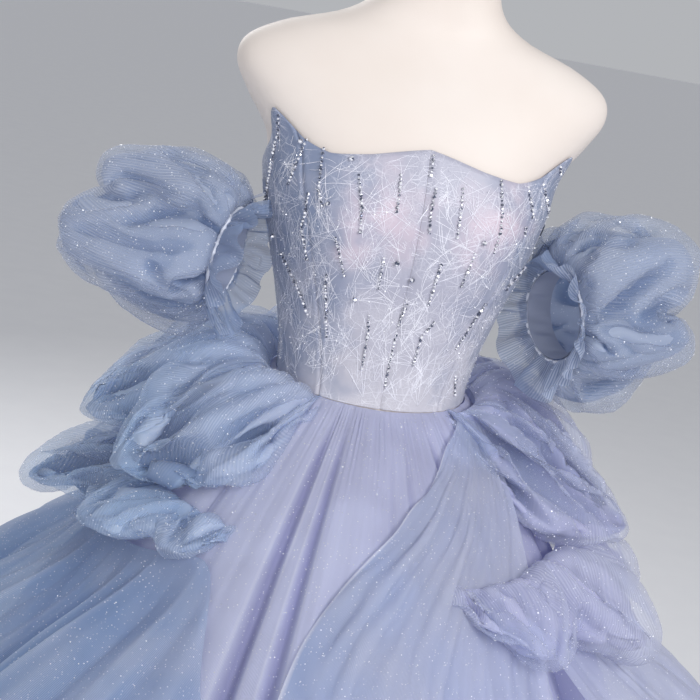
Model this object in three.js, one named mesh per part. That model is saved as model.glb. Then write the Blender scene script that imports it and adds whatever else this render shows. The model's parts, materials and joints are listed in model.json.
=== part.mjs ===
// Ball gown on a dress form: boned strapless bodice, two off-shoulder puff sleeves and a picked-up skirt.
// Millimetres, +Z up. The front faces -Y. The origin is under the middle of the stand's base, on the floor.
import * as THREE from 'three';

// Walls and gaps
const SEAM = 0.3;
const BODICE_WALL = 2.0;
const TULLE_WALL = 1.5;
const BODICE_EASE = 2.0;
const WAIST_EASE = 1.3;

// Heights
const WAIST_MID = 1050;
const WAIST_DIP = 10;
const HEM_Z = 9;

// Stand
const BASE_RADIUS = 190;
const BASE_HEIGHT = 16;
const POLE_RADIUS = 16;
const POLE_TOP = 769.7;
const CAP_HEIGHT = 14;
const CAP_RADIUS = 46;

// Form sections, floor to neck: half width, depth in front and behind, and the fullness of each cup
const FORM_ROWS = [
  { z: 770, half: 138, front: 94, back: 104, cup: 0 },
  { z: 805, half: 152, front: 103, back: 116, cup: 0 },
  { z: 860, half: 158, front: 107, back: 120, cup: 0 },
  { z: 930, half: 146, front: 101, back: 110, cup: 0 },
  { z: 990, half: 117, front: 90, back: 91, cup: 0 },
  { z: 1022, half: 103, front: 83, back: 82, cup: 0 },
  { z: 1050, half: 97, front: 80, back: 78, cup: 0 },
  { z: 1085, half: 100, front: 85, back: 81, cup: 0 },
  { z: 1135, half: 112, front: 94, back: 88, cup: 3 },
  { z: 1180, half: 126, front: 104, back: 94, cup: 9 },
  { z: 1215, half: 136, front: 109, back: 98, cup: 12 },
  { z: 1250, half: 144, front: 108, back: 101, cup: 8 },
  { z: 1290, half: 151, front: 98, back: 102, cup: 2 },
  { z: 1325, half: 175, front: 84, back: 100, cup: 0 },
  { z: 1355, half: 191, front: 70, back: 93, cup: 0 },
  { z: 1380, half: 184, front: 58, back: 82, cup: 0 },
  { z: 1401, half: 148, front: 49, back: 71, cup: 0 },
  { z: 1418, half: 98, front: 44, back: 63, cup: 0 },
  { z: 1436, half: 70, front: 44, back: 59, cup: 0 },
  { z: 1462, half: 58, front: 46, back: 55, cup: 0 },
  { z: 1512, half: 55, front: 47, back: 53, cup: 0 },
];
const FORM_COLUMNS = 40;
const FORM_POWER = 0.9;
const CUP_AT = 36;
const CUP_SPREAD = 20;

// Top edge of the bodice, by the angle from the centre front
const NECKLINE_ROWS = [
  { at: 0, z: 1305 },
  { at: 20, z: 1294 },
  { at: 38, z: 1290 },
  { at: 52, z: 1296 },
  { at: 66, z: 1317 },
  { at: 78, z: 1284 },
  { at: 92, z: 1262 },
  { at: 120, z: 1250 },
  { at: 150, z: 1241 },
  { at: 180, z: 1237 },
];
// Bodice seams: angle at the top edge and at the waist
const BODICE_SEAMS = [
  { name: 'centre', top: 0, waist: 0 },
  { name: 'princess', top: 52, waist: 36 },
  { name: 'side', top: 93, waist: 90 },
  { name: 'back', top: 138, waist: 143 },
  { name: 'closing', top: 180, waist: 180 },
];
const PANEL_COLUMNS = 6;
const PANEL_ROWS = 8;
const PLACKET_WIDTH = 12;

// Long layer by the drop below the waist seam: radius at the side, in front and behind
const LONG_ROWS = [
  { drop: 0, side: 100, front: 83.6, back: 81.6 },
  { drop: 12, side: 113, front: 93, back: 93 },
  { drop: 50, side: 148, front: 128, back: 130 },
  { drop: 98, side: 183, front: 172, back: 170 },
  { drop: 148, side: 217, front: 214, back: 208 },
  { drop: 198, side: 249, front: 250, back: 244 },
  { drop: 268, side: 291, front: 296, back: 291 },
  { drop: 448, side: 393, front: 400, back: 398 },
  { drop: 748, side: 520, front: 535, back: 535 },
  { drop: 1055, side: 612, front: 640, back: 635 },
];
const LONG_DEPTHS = [0, 0.045, 0.1, 0.17, 0.28, 0.45, 0.7, 1];
// Ridges of the long layer: angle at the waist and at the hem, and how far each stands out
const LONG_RIDGES = [
  { top: 2, hem: 1, out: 16 },
  { top: 9.5, hem: 9, out: 21 },
  { top: 17, hem: 16, out: 25 },
  { top: 25, hem: 25, out: 16 },
  { top: 34, hem: 34, out: 22 },
  { top: 44, hem: 45, out: 20 },
  { top: 57, hem: 60, out: 24 },
  { top: 75, hem: 78, out: 26 },
  { top: 96, hem: 98, out: 20 },
  { top: 117, hem: 119, out: 25 },
  { top: 139, hem: 140, out: 22 },
  { top: 160, hem: 161, out: 26 },
  { top: 181, hem: 181, out: 22 },
  { top: 202, hem: 201, out: 25 },
  { top: 224, hem: 222, out: 21 },
  { top: 245, hem: 243, out: 26 },
  { top: 266, hem: 264, out: 22 },
  { top: 286, hem: 283, out: 25 },
  { top: 303, hem: 299, out: 22 },
  { top: 314, hem: 310, out: 18 },
  { top: 322, hem: 319, out: 22 },
  { top: 330, hem: 328, out: 26 },
  { top: 338, hem: 336, out: 12 },
  { top: 346, hem: 344, out: 26 },
  { top: 354, hem: 352, out: 18 },
];
const RIDGE_MOST = 26;
const VALLEY_SHARE = 0.7;
// Gores of the long layer, as the ridges that they run between
const LONG_GORES = [
  { name: 'skirt_front', from: -6.5, to: 5.5 },
  { name: 'skirt_left', from: 5.5, to: 9.5 },
  { name: 'skirt_back', from: 9.5, to: 14.5 },
  { name: 'skirt_right', from: 14.5, to: 18.5 },
];

// Front drape: angle of its free edge and of its hidden edge, by height
const DRAPE_ROWS = [
  { z: 1046, free: 56, hidden: 67 },
  { z: 1020, free: 36, hidden: 62 },
  { z: 965, free: 11, hidden: 54 },
  { z: 905, free: -8, hidden: 46 },
  { z: 825, free: -16, hidden: 41 },
  { z: 400, free: -20, hidden: 38 },
  { z: 9, free: -22, hidden: 37 },
];
const DRAPE_COLUMNS = 13;
const DRAPE_WAVES = 3;
const DRAPE_WAVE = 14;
const DRAPE_DEPTHS = [0, 0.03, 0.06, 0.09, 0.13, 0.19, 0.28, 0.42, 0.65, 1];

// Puff tiers, from the front edge to the centre back: angle, height of the seam, reach from the axis,
// height of the fold below, rise of the crown, and how flat the cloth is pulled (0 round to 1 straight)
const UPPER_LEFT = [
  { at: 46, top: 1041, reach: 150, low: 1000, rise: 0, flat: 0.7 },
  { at: 54, top: 1043, reach: 212, low: 952, rise: 4, flat: 0.7 },
  { at: 64, top: 1045, reach: 250, low: 946, rise: 10, flat: 0.7 },
  { at: 76, top: 1046, reach: 304, low: 946, rise: 14, flat: 0.7 },
  { at: 86, top: 1047, reach: 252, low: 974, rise: 18, flat: 0.5 },
  { at: 98, top: 1048, reach: 284, low: 962, rise: 24, flat: 0.3 },
  { at: 110, top: 1050, reach: 246, low: 979, rise: 26, flat: 0.3 },
  { at: 126, top: 1052, reach: 290, low: 958, rise: 26, flat: 0.3 },
  { at: 142, top: 1054, reach: 250, low: 978, rise: 24, flat: 0.3 },
  { at: 160, top: 1056, reach: 284, low: 960, rise: 22, flat: 0.3 },
  { at: 179.9, top: 1057, reach: 262, low: 970, rise: 20, flat: 0.3 },
];
const UPPER_RIGHT = [
  { at: 37, top: 1040, reach: 150, low: 1000, rise: 0, flat: 0.6 },
  { at: 45, top: 1042, reach: 208, low: 957, rise: 4, flat: 0.6 },
  { at: 58, top: 1044, reach: 226, low: 950, rise: 12, flat: 0.5 },
  { at: 72, top: 1045, reach: 278, low: 950, rise: 16, flat: 0.5 },
  { at: 82, top: 1046, reach: 240, low: 974, rise: 20, flat: 0.4 },
  { at: 96, top: 1048, reach: 304, low: 970, rise: 28, flat: 0.3 },
  { at: 109, top: 1050, reach: 258, low: 982, rise: 28, flat: 0.3 },
  { at: 124, top: 1052, reach: 306, low: 960, rise: 28, flat: 0.3 },
  { at: 141, top: 1054, reach: 262, low: 978, rise: 25, flat: 0.3 },
  { at: 160, top: 1056, reach: 292, low: 960, rise: 22, flat: 0.3 },
  { at: 179.9, top: 1057, reach: 262, low: 970, rise: 20, flat: 0.3 },
];
const LOWER_LEFT = [
  { at: 13, top: 905, reach: 240, low: 893, rise: 0, flat: 0.6 },
  { at: 25, top: 908, reach: 284, low: 880, rise: 4, flat: 0.6 },
  { at: 39, top: 911, reach: 306, low: 858, rise: 8, flat: 0.6 },
  { at: 50, top: 914, reach: 286, low: 872, rise: 10, flat: 0.6 },
  { at: 64, top: 918, reach: 344, low: 850, rise: 12, flat: 0.6 },
  { at: 77, top: 922, reach: 300, low: 868, rise: 12, flat: 0.4 },
  { at: 92, top: 927, reach: 350, low: 848, rise: 14, flat: 0.3 },
  { at: 108, top: 930, reach: 308, low: 866, rise: 14, flat: 0.3 },
  { at: 126, top: 932, reach: 354, low: 848, rise: 14, flat: 0.3 },
  { at: 144, top: 934, reach: 312, low: 868, rise: 14, flat: 0.3 },
  { at: 162, top: 935, reach: 346, low: 850, rise: 14, flat: 0.3 },
  { at: 179.9, top: 936, reach: 322, low: 860, rise: 14, flat: 0.3 },
];
const LOWER_RIGHT = [
  { at: 37, top: 918, reach: 230, low: 908, rise: 0, flat: 0.6 },
  { at: 46, top: 921, reach: 272, low: 893, rise: 5, flat: 0.6 },
  { at: 56, top: 923, reach: 250, low: 902, rise: 7, flat: 0.5 },
  { at: 71, top: 925, reach: 304, low: 888, rise: 9, flat: 0.5 },
  { at: 84, top: 928, reach: 276, low: 896, rise: 11, flat: 0.4 },
  { at: 99, top: 931, reach: 356, low: 882, rise: 14, flat: 0.3 },
  { at: 113, top: 933, reach: 306, low: 890, rise: 14, flat: 0.3 },
  { at: 129, top: 934, reach: 358, low: 880, rise: 14, flat: 0.3 },
  { at: 145, top: 935, reach: 312, low: 890, rise: 14, flat: 0.3 },
  { at: 162, top: 936, reach: 346, low: 880, rise: 14, flat: 0.3 },
  { at: 179.9, top: 936, reach: 322, low: 884, rise: 14, flat: 0.3 },
];
const TIER_SPLIT = 2;
const TIER_DEPTHS = [0, 0.1, 0.22, 0.36, 0.5, 0.62, 0.72, 0.81, 0.9, 1];
const TIER_FOLD = 0.72;
const LIP_DEPTH = 34;
const LIP_DROP = 7;

// Floor-length over layer: radius by height
const OVER_ROWS = [
  { z: 0, radius: 700 },
  { z: 230, radius: 655 },
  { z: 440, radius: 598 },
  { z: 600, radius: 528 },
  { z: 690, radius: 468 },
  { z: 748, radius: 412 },
  { z: 790, radius: 358 },
  { z: 826, radius: 302 },
  { z: 856, radius: 262 },
  { z: 872, radius: 248 },
];
const OVER_DEPTHS = [0, 0.04, 0.09, 0.16, 0.27, 0.45, 0.7, 1];
// Ridges of the over layer from its front edge to the centre back: angle and how far each stands out
const OVER_LEFT = [
  { at: 45, out: 4 },
  { at: 62, out: 30 },
  { at: 80, out: 24 },
  { at: 100, out: 32 },
  { at: 119, out: 24 },
  { at: 140, out: 31 },
  { at: 160, out: 25 },
  { at: 179.95, out: 18 },
];
const OVER_RIGHT = [
  { at: 34, out: 6 },
  { at: 51, out: 32 },
  { at: 70, out: 26 },
  { at: 92, out: 33 },
  { at: 114, out: 24 },
  { at: 137, out: 31 },
  { at: 159, out: 25 },
  { at: 179.95, out: 18 },
];
const OVERS = [
  { side: 'left', hand: 1, top: 838, ridges: OVER_LEFT },
  { side: 'right', hand: -1, top: 872, ridges: OVER_RIGHT },
];

// Sleeves
const BAND_RADIUS = 44;
const BAND_FROM = -16;
const BAND_TO = 14;
const SLEEVE_SPLIT = 2;
const PUFF_DEPTHS = [0, 0.08, 0.18, 0.3, 0.42, 0.54, 0.66, 0.78, 0.9, 1];
const FRILL_DEPTHS = [0, 0.34, 0.68, 1];
const CUFF_RADIUS = 45;
const TAB_TURN = 18;
const TAB_AT = 83;
const TAB_SPAN = 7;
const TAB_Z = 1228;
const ON_BAND = BAND_RADIUS + BODICE_WALL + 2 * SEAM;
// Lobes of each sleeve, from the top round by the front: reach of the puff from the arm line,
// its length along that line, and reach of the frill
const LOBES_LEFT = [
  { at: 0, reach: 98, long: 104, frill: 14 },
  { at: 38, reach: 112, long: 128, frill: 26 },
  { at: 82, reach: 76, long: 100, frill: 30 },
  { at: 106, reach: 98, long: 122, frill: 34 },
  { at: 133, reach: 76, long: 92, frill: 30 },
  { at: 168, reach: 108, long: 86, frill: 36 },
  { at: 208, reach: 82, long: 90, frill: 30 },
  { at: 240, reach: 100, long: 106, frill: 22 },
  { at: 276, reach: 80, long: 92, frill: 9 },
  { at: 318, reach: 98, long: 110, frill: 9 },
  { at: 360, reach: 98, long: 104, frill: 14 },
];
const LOBES_RIGHT = [
  { at: 0, reach: 84, long: 112, frill: 12 },
  { at: 26, reach: 92, long: 132, frill: 16 },
  { at: 56, reach: 72, long: 116, frill: 20 },
  { at: 92, reach: 100, long: 146, frill: 28 },
  { at: 124, reach: 96, long: 138, frill: 32 },
  { at: 150, reach: 78, long: 112, frill: 28 },
  { at: 180, reach: 98, long: 92, frill: 32 },
  { at: 214, reach: 78, long: 96, frill: 26 },
  { at: 248, reach: 94, long: 108, frill: 18 },
  { at: 284, reach: 76, long: 94, frill: 11 },
  { at: 322, reach: 88, long: 108, frill: 11 },
  { at: 360, reach: 84, long: 112, frill: 12 },
];
const SLEEVES = [
  { side: 'left', hand: 1, x: 182, y: -40, z: 1156, lobes: LOBES_LEFT },
  { side: 'right', hand: -1, x: -186, y: -30, z: 1166, lobes: LOBES_RIGHT },
];
const ARM_LINE = new THREE.Vector3(0.9, 0.36, 0.12).normalize();

// Colours
const CREAM = new THREE.MeshStandardMaterial({ color: 0xe4ddd0, roughness: 0.6 });
const STEEL = new THREE.MeshStandardMaterial({ color: 0xb9bcc0, roughness: 0.35, metalness: 0.8 });
const LACE = new THREE.MeshStandardMaterial({ color: 0xc3c6d3, roughness: 0.7 });
const BLUE = new THREE.MeshStandardMaterial({ color: 0xa9bcd6, roughness: 0.8 });
const LILAC = new THREE.MeshStandardMaterial({ color: 0xb3b0d8, roughness: 0.8 });
const GREY = new THREE.MeshStandardMaterial({ color: 0x9aa3b4, roughness: 0.8 });

const gown = new THREE.Group();
gown.name = 'ball_gown';

// Angle in degrees to radians
function rad(degrees) {
  return degrees * Math.PI / 180;
}

// Row before a key and the share of the way to the next row
function between(rows, key, at) {
  const last = rows.length - 2;
  const rising = rows[last + 1][key] > rows[0][key];
  let i = 0;
  while (i < last && (rising ? at > rows[i + 1][key] : at < rows[i + 1][key])) {
    i += 1;
  }
  const share = (at - rows[i][key]) / (rows[i + 1][key] - rows[i][key]);
  return { i, share: Math.min(1, Math.max(0, share)) };
}

// Column of a table at a key, straight from row to row
function straight(rows, key, at, column) {
  const { i, share } = between(rows, key, at);
  return rows[i][column] + (rows[i + 1][column] - rows[i][column]) * share;
}

// Column of a table at a key, as a smooth curve through the rows
function smooth(rows, key, at, column) {
  const { i, share } = between(rows, key, at);
  const a = rows[Math.max(0, i - 1)];
  const b = rows[i];
  const c = rows[i + 1];
  const d = rows[Math.min(rows.length - 1, i + 2)];
  const gap = c[key] - b[key];
  const inSlope = (c[column] - a[column]) / (c[key] - a[key]) * gap;
  const outSlope = (d[column] - b[column]) / (d[key] - b[key]) * gap;
  const s2 = share * share;
  const s3 = s2 * share;
  const start = b[column] * (2 * s3 - 3 * s2 + 1) + inSlope * (s3 - 2 * s2 + share);
  return start + c[column] * (3 * s2 - 2 * s3) + outSlope * (s3 - s2);
}

// Point at an angle from the front, a radius from the axis and a height
function polar(degrees, radius, z) {
  return new THREE.Vector3(radius * Math.sin(rad(degrees)), -radius * Math.cos(rad(degrees)), z);
}

// Outward direction of a surface where it is at (u, v)
function outward(surface, u, v, du, dv, hand) {
  const across = surface(u + du, v).sub(surface(u - du, v));
  const below = surface(u, Math.min(1, v + dv)).sub(surface(u, Math.max(0, v - dv)));
  return below.cross(across).multiplyScalar(hand).normalize();
}

// Closed wall behind a surface: columns across and rows down, joined to itself when it is a ring
function wall(name, surface, columns, rows, thickness, material, { ring = false, hand = 1 } = {}) {
  const count = columns.length;
  const du = Math.abs(columns[1] - columns[0]) * 0.15;
  const points = [];
  for (const side of [0, 1]) {
    for (const v of rows) {
      for (const u of columns) {
        const point = surface(u, v);
        if (side === 1) {
          point.addScaledVector(outward(surface, u, v, du, 0.012, hand), -thickness);
        }
        points.push(point.x, point.y, point.z);
      }
    }
  }
  const index = [];
  const layer = count * rows.length;
  const spans = ring ? count : count - 1;
  const quad = (a, b, c, d) => {
    if (hand > 0) {
      index.push(a, d, b, b, d, c);
    } else {
      index.push(a, b, d, b, c, d);
    }
  };
  for (let j = 0; j < rows.length - 1; j += 1) {
    for (let i = 0; i < spans; i += 1) {
      const a = j * count + i;
      const b = j * count + (i + 1) % count;
      quad(a, b, b + count, a + count);
      quad(layer + b, layer + a, layer + a + count, layer + b + count);
    }
  }
  const end = (rows.length - 1) * count;
  for (let i = 0; i < spans; i += 1) {
    const next = (i + 1) % count;
    quad(layer + i, layer + next, next, i);
    quad(end + i, end + next, layer + end + next, layer + end + i);
  }
  if (!ring) {
    for (let j = 0; j < rows.length - 1; j += 1) {
      const a = j * count;
      const b = a + count - 1;
      quad(layer + a, a, a + count, layer + a + count);
      quad(b, layer + b, layer + b + count, b + count);
    }
  }
  const geometry = new THREE.BufferGeometry();
  geometry.setAttribute('position', new THREE.Float32BufferAttribute(points, 3));
  geometry.setIndex(index);
  geometry.computeVertexNormals();
  addNode(name, geometry, material);
}

// Named mesh in the group
function addNode(name, geometry, material) {
  const mesh = new THREE.Mesh(geometry, material);
  mesh.name = name;
  gown.add(mesh);
}

// Even steps from one value to another, both ends kept
function steps(from, to, count) {
  return Array.from({ length: count }, (_, i) => from + (to - from) * i / (count - 1));
}

// Signed power, for a section squarer than an ellipse
function squared(value) {
  return Math.sign(value) * Math.abs(value) ** FORM_POWER;
}

// Point of the form at an angle and height, with its section moved out
function formPoint(degrees, z, out) {
  const turn = Math.abs(((degrees + 540) % 360) - 180);
  const cos = Math.cos(rad(degrees));
  const half = smooth(FORM_ROWS, 'z', z, 'half');
  const depth = smooth(FORM_ROWS, 'z', z, cos > 0 ? 'front' : 'back');
  const cup = smooth(FORM_ROWS, 'z', z, 'cup') * Math.exp(-(((turn - CUP_AT) / CUP_SPREAD) ** 2));
  const x = half * squared(Math.sin(rad(degrees)));
  const y = -(depth + cup) * squared(cos);
  const flat = new THREE.Vector3(x / half / half, y / depth / depth, 0).normalize();
  return new THREE.Vector3(x, y, z).addScaledVector(flat, out);
}

// Solid form with flat ends, from its sections
function addForm() {
  const points = [];
  const index = [];
  for (const row of FORM_ROWS) {
    for (let i = 0; i < FORM_COLUMNS; i += 1) {
      const point = formPoint(360 * i / FORM_COLUMNS, row.z, 0);
      points.push(point.x, point.y, point.z);
    }
  }
  const n = FORM_COLUMNS;
  for (let j = 0; j < FORM_ROWS.length - 1; j += 1) {
    for (let i = 0; i < n; i += 1) {
      const a = j * n + i;
      const b = j * n + (i + 1) % n;
      index.push(a, b, a + n, b, b + n, a + n);
    }
  }
  const top = (FORM_ROWS.length - 1) * n;
  for (let i = 1; i < n - 1; i += 1) {
    index.push(0, i + 1, i);
    index.push(top, top + i, top + i + 1);
  }
  const geometry = new THREE.BufferGeometry();
  geometry.setAttribute('position', new THREE.Float32BufferAttribute(points, 3));
  geometry.setIndex(index);
  geometry.computeVertexNormals();
  addNode('form_torso', geometry, CREAM);
}

// Turned solid about the upright axis
function addTurned(name, profile, segments, material) {
  const geometry = new THREE.LatheGeometry(profile.map(([r, z]) => new THREE.Vector2(r, z)), segments);
  geometry.rotateX(Math.PI / 2);
  addNode(name, geometry, material);
}

// Height of the waist seam at an angle
function waistZ(degrees) {
  return WAIST_MID - WAIST_DIP * Math.cos(rad(degrees));
}

// Height of the bodice's top edge at an angle
function necklineZ(degrees) {
  const turn = Math.abs(((degrees + 540) % 360) - 180);
  return straight(NECKLINE_ROWS, 'at', turn, 'z') * 0.5 + smooth(NECKLINE_ROWS, 'at', turn, 'z') * 0.5;
}

// Outer face of the bodice at an angle, from its top edge (0) to the waist (1)
function bodicePoint(degrees, v) {
  const z = necklineZ(degrees) * (1 - v) + (waistZ(degrees) + SEAM) * v;
  const ease = WAIST_EASE + (BODICE_EASE - WAIST_EASE) * Math.min(1, Math.abs(1 - v) * 2.5);
  return formPoint(degrees, z, ease + BODICE_WALL);
}

// Bodice panels between each pair of seams, on both sides, with a gap at each seam
function addBodice() {
  const names = ['front', 'side_front', 'side_back', 'back'];
  for (const [side, hand] of [['left', 1], ['right', -1]]) {
    names.forEach((name, k) => {
      const from = BODICE_SEAMS[k];
      const to = BODICE_SEAMS[k + 1];
      const surface = (u, v) => {
        const inset = 0.09;
        const a = from.top + (from.waist - from.top) * v + inset;
        const b = to.top + (to.waist - to.top) * v - inset;
        return bodicePoint(hand * (a + (b - a) * u), v);
      };
      const columns = steps(0, 1, PANEL_COLUMNS);
      const rows = steps(0, 1, PANEL_ROWS);
      wall(`bodice_${name}_${side}`, surface, columns, rows, BODICE_WALL, LACE, { hand });
    });
  }
  const placket = (u, v) => {
    const base = bodicePoint(180, 0.01 + 0.98 * v);
    return new THREE.Vector3(PLACKET_WIDTH * (0.5 - u), base.y + SEAM + TULLE_WALL, base.z);
  };
  wall('bodice_placket', placket, [0, 0.5, 1], steps(0, 1, PANEL_ROWS), TULLE_WALL, LACE);
}

// Radius of the long layer without its folds, as square as the form at the waist and round below
function longRadius(degrees, z) {
  const cos = Math.abs(Math.cos(rad(degrees)));
  const sin = Math.abs(Math.sin(rad(degrees)));
  const drop = Math.max(0, waistZ(degrees) - z);
  const side = smooth(LONG_ROWS, 'drop', drop, 'side');
  const depth = smooth(LONG_ROWS, 'drop', drop, Math.cos(rad(degrees)) > 0 ? 'front' : 'back');
  const power = 2 + (2 / FORM_POWER - 2) * Math.exp(-drop / 40);
  return ((sin / side) ** power + (cos / depth) ** power) ** (-1 / power);
}

// How far folds have opened at a share of the way down
function opened(v) {
  return 0.04 + 0.96 * Math.min(1, v * 1.6) ** 0.75;
}

// Share of the way from the waist to the hem at a height
function longDepth(degrees, z) {
  return (waistZ(degrees) - z) / (waistZ(degrees) - HEM_Z);
}

// Long layer at a place counted in ridges (half ridges are valleys)
function longPoint(count, v) {
  const total = LONG_RIDGES.length;
  const ridge = (k) => {
    const row = LONG_RIDGES[((k % total) + total) % total];
    const turns = 360 * Math.floor(k / total);
    return { at: row.top + (row.hem - row.top) * v ** 0.7 + turns, out: row.out };
  };
  const k = Math.floor(count);
  const a = ridge(k);
  const b = ridge(k + 1);
  const share = count - k;
  const degrees = a.at + (b.at - a.at) * share;
  const out = a.out + (b.out - a.out) * share;
  const wave = Math.abs(2 * share - 1) * (1 + VALLEY_SHARE) - VALLEY_SHARE;
  const top = waistZ(degrees) - 2 * SEAM;
  const z = top - v * (top - HEM_Z);
  return polar(degrees, longRadius(degrees, z) + out * wave * opened(v), z);
}

// Four gores of the long layer
function addLong() {
  for (const gore of LONG_GORES) {
    const columns = steps(gore.from + 0.003, gore.to - 0.003, (gore.to - gore.from) * 4 + 1);
    wall(gore.name, longPoint, columns, LONG_DEPTHS, TULLE_WALL, LILAC);
  }
}

// Radius on which the next layer lies, over the ridges below it and a little more
function lieOn(degrees, z, over) {
  const v = Math.max(0, longDepth(degrees, z));
  return longRadius(degrees, z) + RIDGE_MOST * opened(v) + SEAM + over;
}

// Front drape: u from the hidden edge to the free edge is counted against the angle
function drapePoint(u, v) {
  const z = 1041 - v * (1041 - HEM_Z);
  const free = smooth(DRAPE_ROWS, 'z', z, 'free');
  const hidden = smooth(DRAPE_ROWS, 'z', z, 'hidden');
  const degrees = free + (hidden - free) * u;
  const wave = 0.5 - 0.5 * Math.cos(2 * Math.PI * DRAPE_WAVES * u);
  const lift = waistZ(degrees) - WAIST_MID + WAIST_DIP * Math.cos(rad(50));
  const clear = TULLE_WALL + 0.4 + 4 * Math.min(1, v * 60);
  const radius = lieOn(degrees, z, clear) + DRAPE_WAVE * wave * opened(v);
  return polar(degrees, radius, z + lift * (1 - v));
}

// Puff tier at a place counted in its rows: from its seam, over a crown, to a fold that turns under
function tierPoint(tier, count, v) {
  const k = Math.max(0, Math.min(tier.rows.length - 2, Math.floor(count)));
  const a = tier.rows[k];
  const b = tier.rows[k + 1];
  const mix = (column) => a[column] + (b[column] - a[column]) * (count - k);
  const degrees = tier.hand * mix('at');
  const top = mix('top');
  const low = mix('low');
  const root = lieOn(degrees, top, tier.over) + TULLE_WALL;
  const inner = lieOn(degrees, low, tier.over) + TULLE_WALL + 4;
  const reach = Math.max(mix('reach'), inner + 4);
  if (v <= TIER_FOLD) {
    const s = v / TIER_FOLD;
    const flat = mix('flat');
    const out = (1 - flat) * Math.sin(Math.PI * s / 2) ** 0.92 + flat * s ** 0.95;
    const fall = (1 - flat) * (1 - Math.cos(Math.PI * s / 2)) ** 1.15 + flat * s ** 1.15;
    const z = top + mix('rise') * Math.sin(Math.PI * Math.sqrt(s)) - (top - low) * fall;
    return polar(degrees, root + (reach - root) * out, z);
  }
  const turn = Math.PI * (v - TIER_FOLD) / (1 - TIER_FOLD);
  const depth = Math.min(LIP_DEPTH, reach - inner);
  return polar(degrees, reach - depth * (1 - Math.cos(turn)) / 2, low - LIP_DROP * Math.sin(turn));
}

// Left and right halves of both puff tiers, each over what lies under it
function addTiers() {
  const tiers = [
    { name: 'puff_upper_left', rows: UPPER_LEFT, hand: 1, over: 7.5 },
    { name: 'puff_upper_right', rows: UPPER_RIGHT, hand: -1, over: 0.3 },
    { name: 'puff_lower_left', rows: LOWER_LEFT, hand: 1, over: 13 },
    { name: 'puff_lower_right', rows: LOWER_RIGHT, hand: -1, over: -1.1 },
  ];
  for (const tier of tiers) {
    const last = tier.rows.length - 1;
    const columns = steps(0, last, last * TIER_SPLIT + 1);
    const surface = (u, v) => tierPoint(tier, u, v);
    wall(tier.name, surface, columns, TIER_DEPTHS, TULLE_WALL, BLUE, { hand: tier.hand });
  }
}

// Over layer at a place counted in ridges from its front edge
function overPoint(over, count, v) {
  const k = Math.max(0, Math.min(over.ridges.length - 2, Math.floor(count)));
  const share = count - k;
  const a = over.ridges[k];
  const b = over.ridges[k + 1];
  const degrees = over.hand * (a.at + (b.at - a.at) * share);
  const out = a.out + (b.out - a.out) * share;
  const wave = Math.abs(2 * share - 1) * (1 + VALLEY_SHARE) - VALLEY_SHARE;
  const z = over.top - v * (over.top - HEM_Z);
  const seat = lieOn(degrees, over.top, 0.3) + TULLE_WALL - smooth(OVER_ROWS, 'z', over.top, 'radius');
  const radius = smooth(OVER_ROWS, 'z', z, 'radius') + seat * Math.exp((z - over.top) / 25);
  return polar(degrees, radius + out * wave * opened(v) * Math.min(1, v * 6), z);
}

// Left and right halves of the over layer
function addOver() {
  for (const over of OVERS) {
    const last = over.ridges.length - 1;
    const surface = (u, v) => overPoint(over, u, v);
    const options = { hand: over.hand };
    const columns = steps(0, last, last * 4 + 1);
    wall(`skirt_over_${over.side}`, surface, columns, OVER_DEPTHS, TULLE_WALL, BLUE, options);
  }
}

// Directions of a sleeve: along the arm, up and forward
function sleeveFrame(sleeve) {
  const along = new THREE.Vector3(ARM_LINE.x * sleeve.hand, ARM_LINE.y, ARM_LINE.z);
  const up = new THREE.Vector3(0, 0, 1).addScaledVector(along, -along.z).normalize();
  const ahead = new THREE.Vector3(0, -1, 0).addScaledVector(along, along.y).addScaledVector(up, up.y);
  ahead.normalize();
  return { along, up, ahead, centre: new THREE.Vector3(sleeve.x, sleeve.y, sleeve.z) };
}

// Point of a sleeve at an angle from the top round by the front, a radius and a place along the arm
function sleevePoint(frame, degrees, radius, place) {
  const point = frame.centre.clone().addScaledVector(frame.along, place);
  point.addScaledVector(frame.up, radius * Math.cos(rad(degrees)));
  return point.addScaledVector(frame.ahead, radius * Math.sin(rad(degrees)));
}

// Column of the lobes at a place counted in rows, round and round
function lobe(sleeve, count, column) {
  const total = sleeve.lobes.length - 1;
  const turns = Math.floor(count / total);
  const place = count - turns * total;
  const k = Math.floor(place);
  const a = sleeve.lobes[k][column];
  const value = a + (sleeve.lobes[k + 1][column] - a) * (place - k);
  return column === 'at' ? value + 360 * turns : value;
}

// Puff: from the band, out over its lobes and in to the cuff opening
function puffPoint(sleeve, frame, count, v) {
  const start = v < 0.5 ? ON_BAND : CUFF_RADIUS;
  const radius = start + (lobe(sleeve, count, 'reach') - start) * Math.sin(Math.PI * v) ** 0.6;
  const along = (0.5 - 0.5 * Math.cos(Math.PI * v)) ** 1.1;
  const place = BAND_TO - 4 + (lobe(sleeve, count, 'long') - BAND_TO) * along;
  return sleevePoint(frame, lobe(sleeve, count, 'at'), radius, place);
}

// Frill: from the band, flaring to a waved free edge
function frillPoint(sleeve, frame, count, v) {
  const wave = Math.cos(2 * Math.PI * count);
  const radius = ON_BAND + 3 * SEAM + lobe(sleeve, count, 'frill') * v + 2 * wave * v;
  const place = BAND_FROM + 3 - 15 * v ** 1.3 + 3.5 * wave * v;
  return sleevePoint(frame, lobe(sleeve, count, 'at'), radius, place);
}

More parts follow.
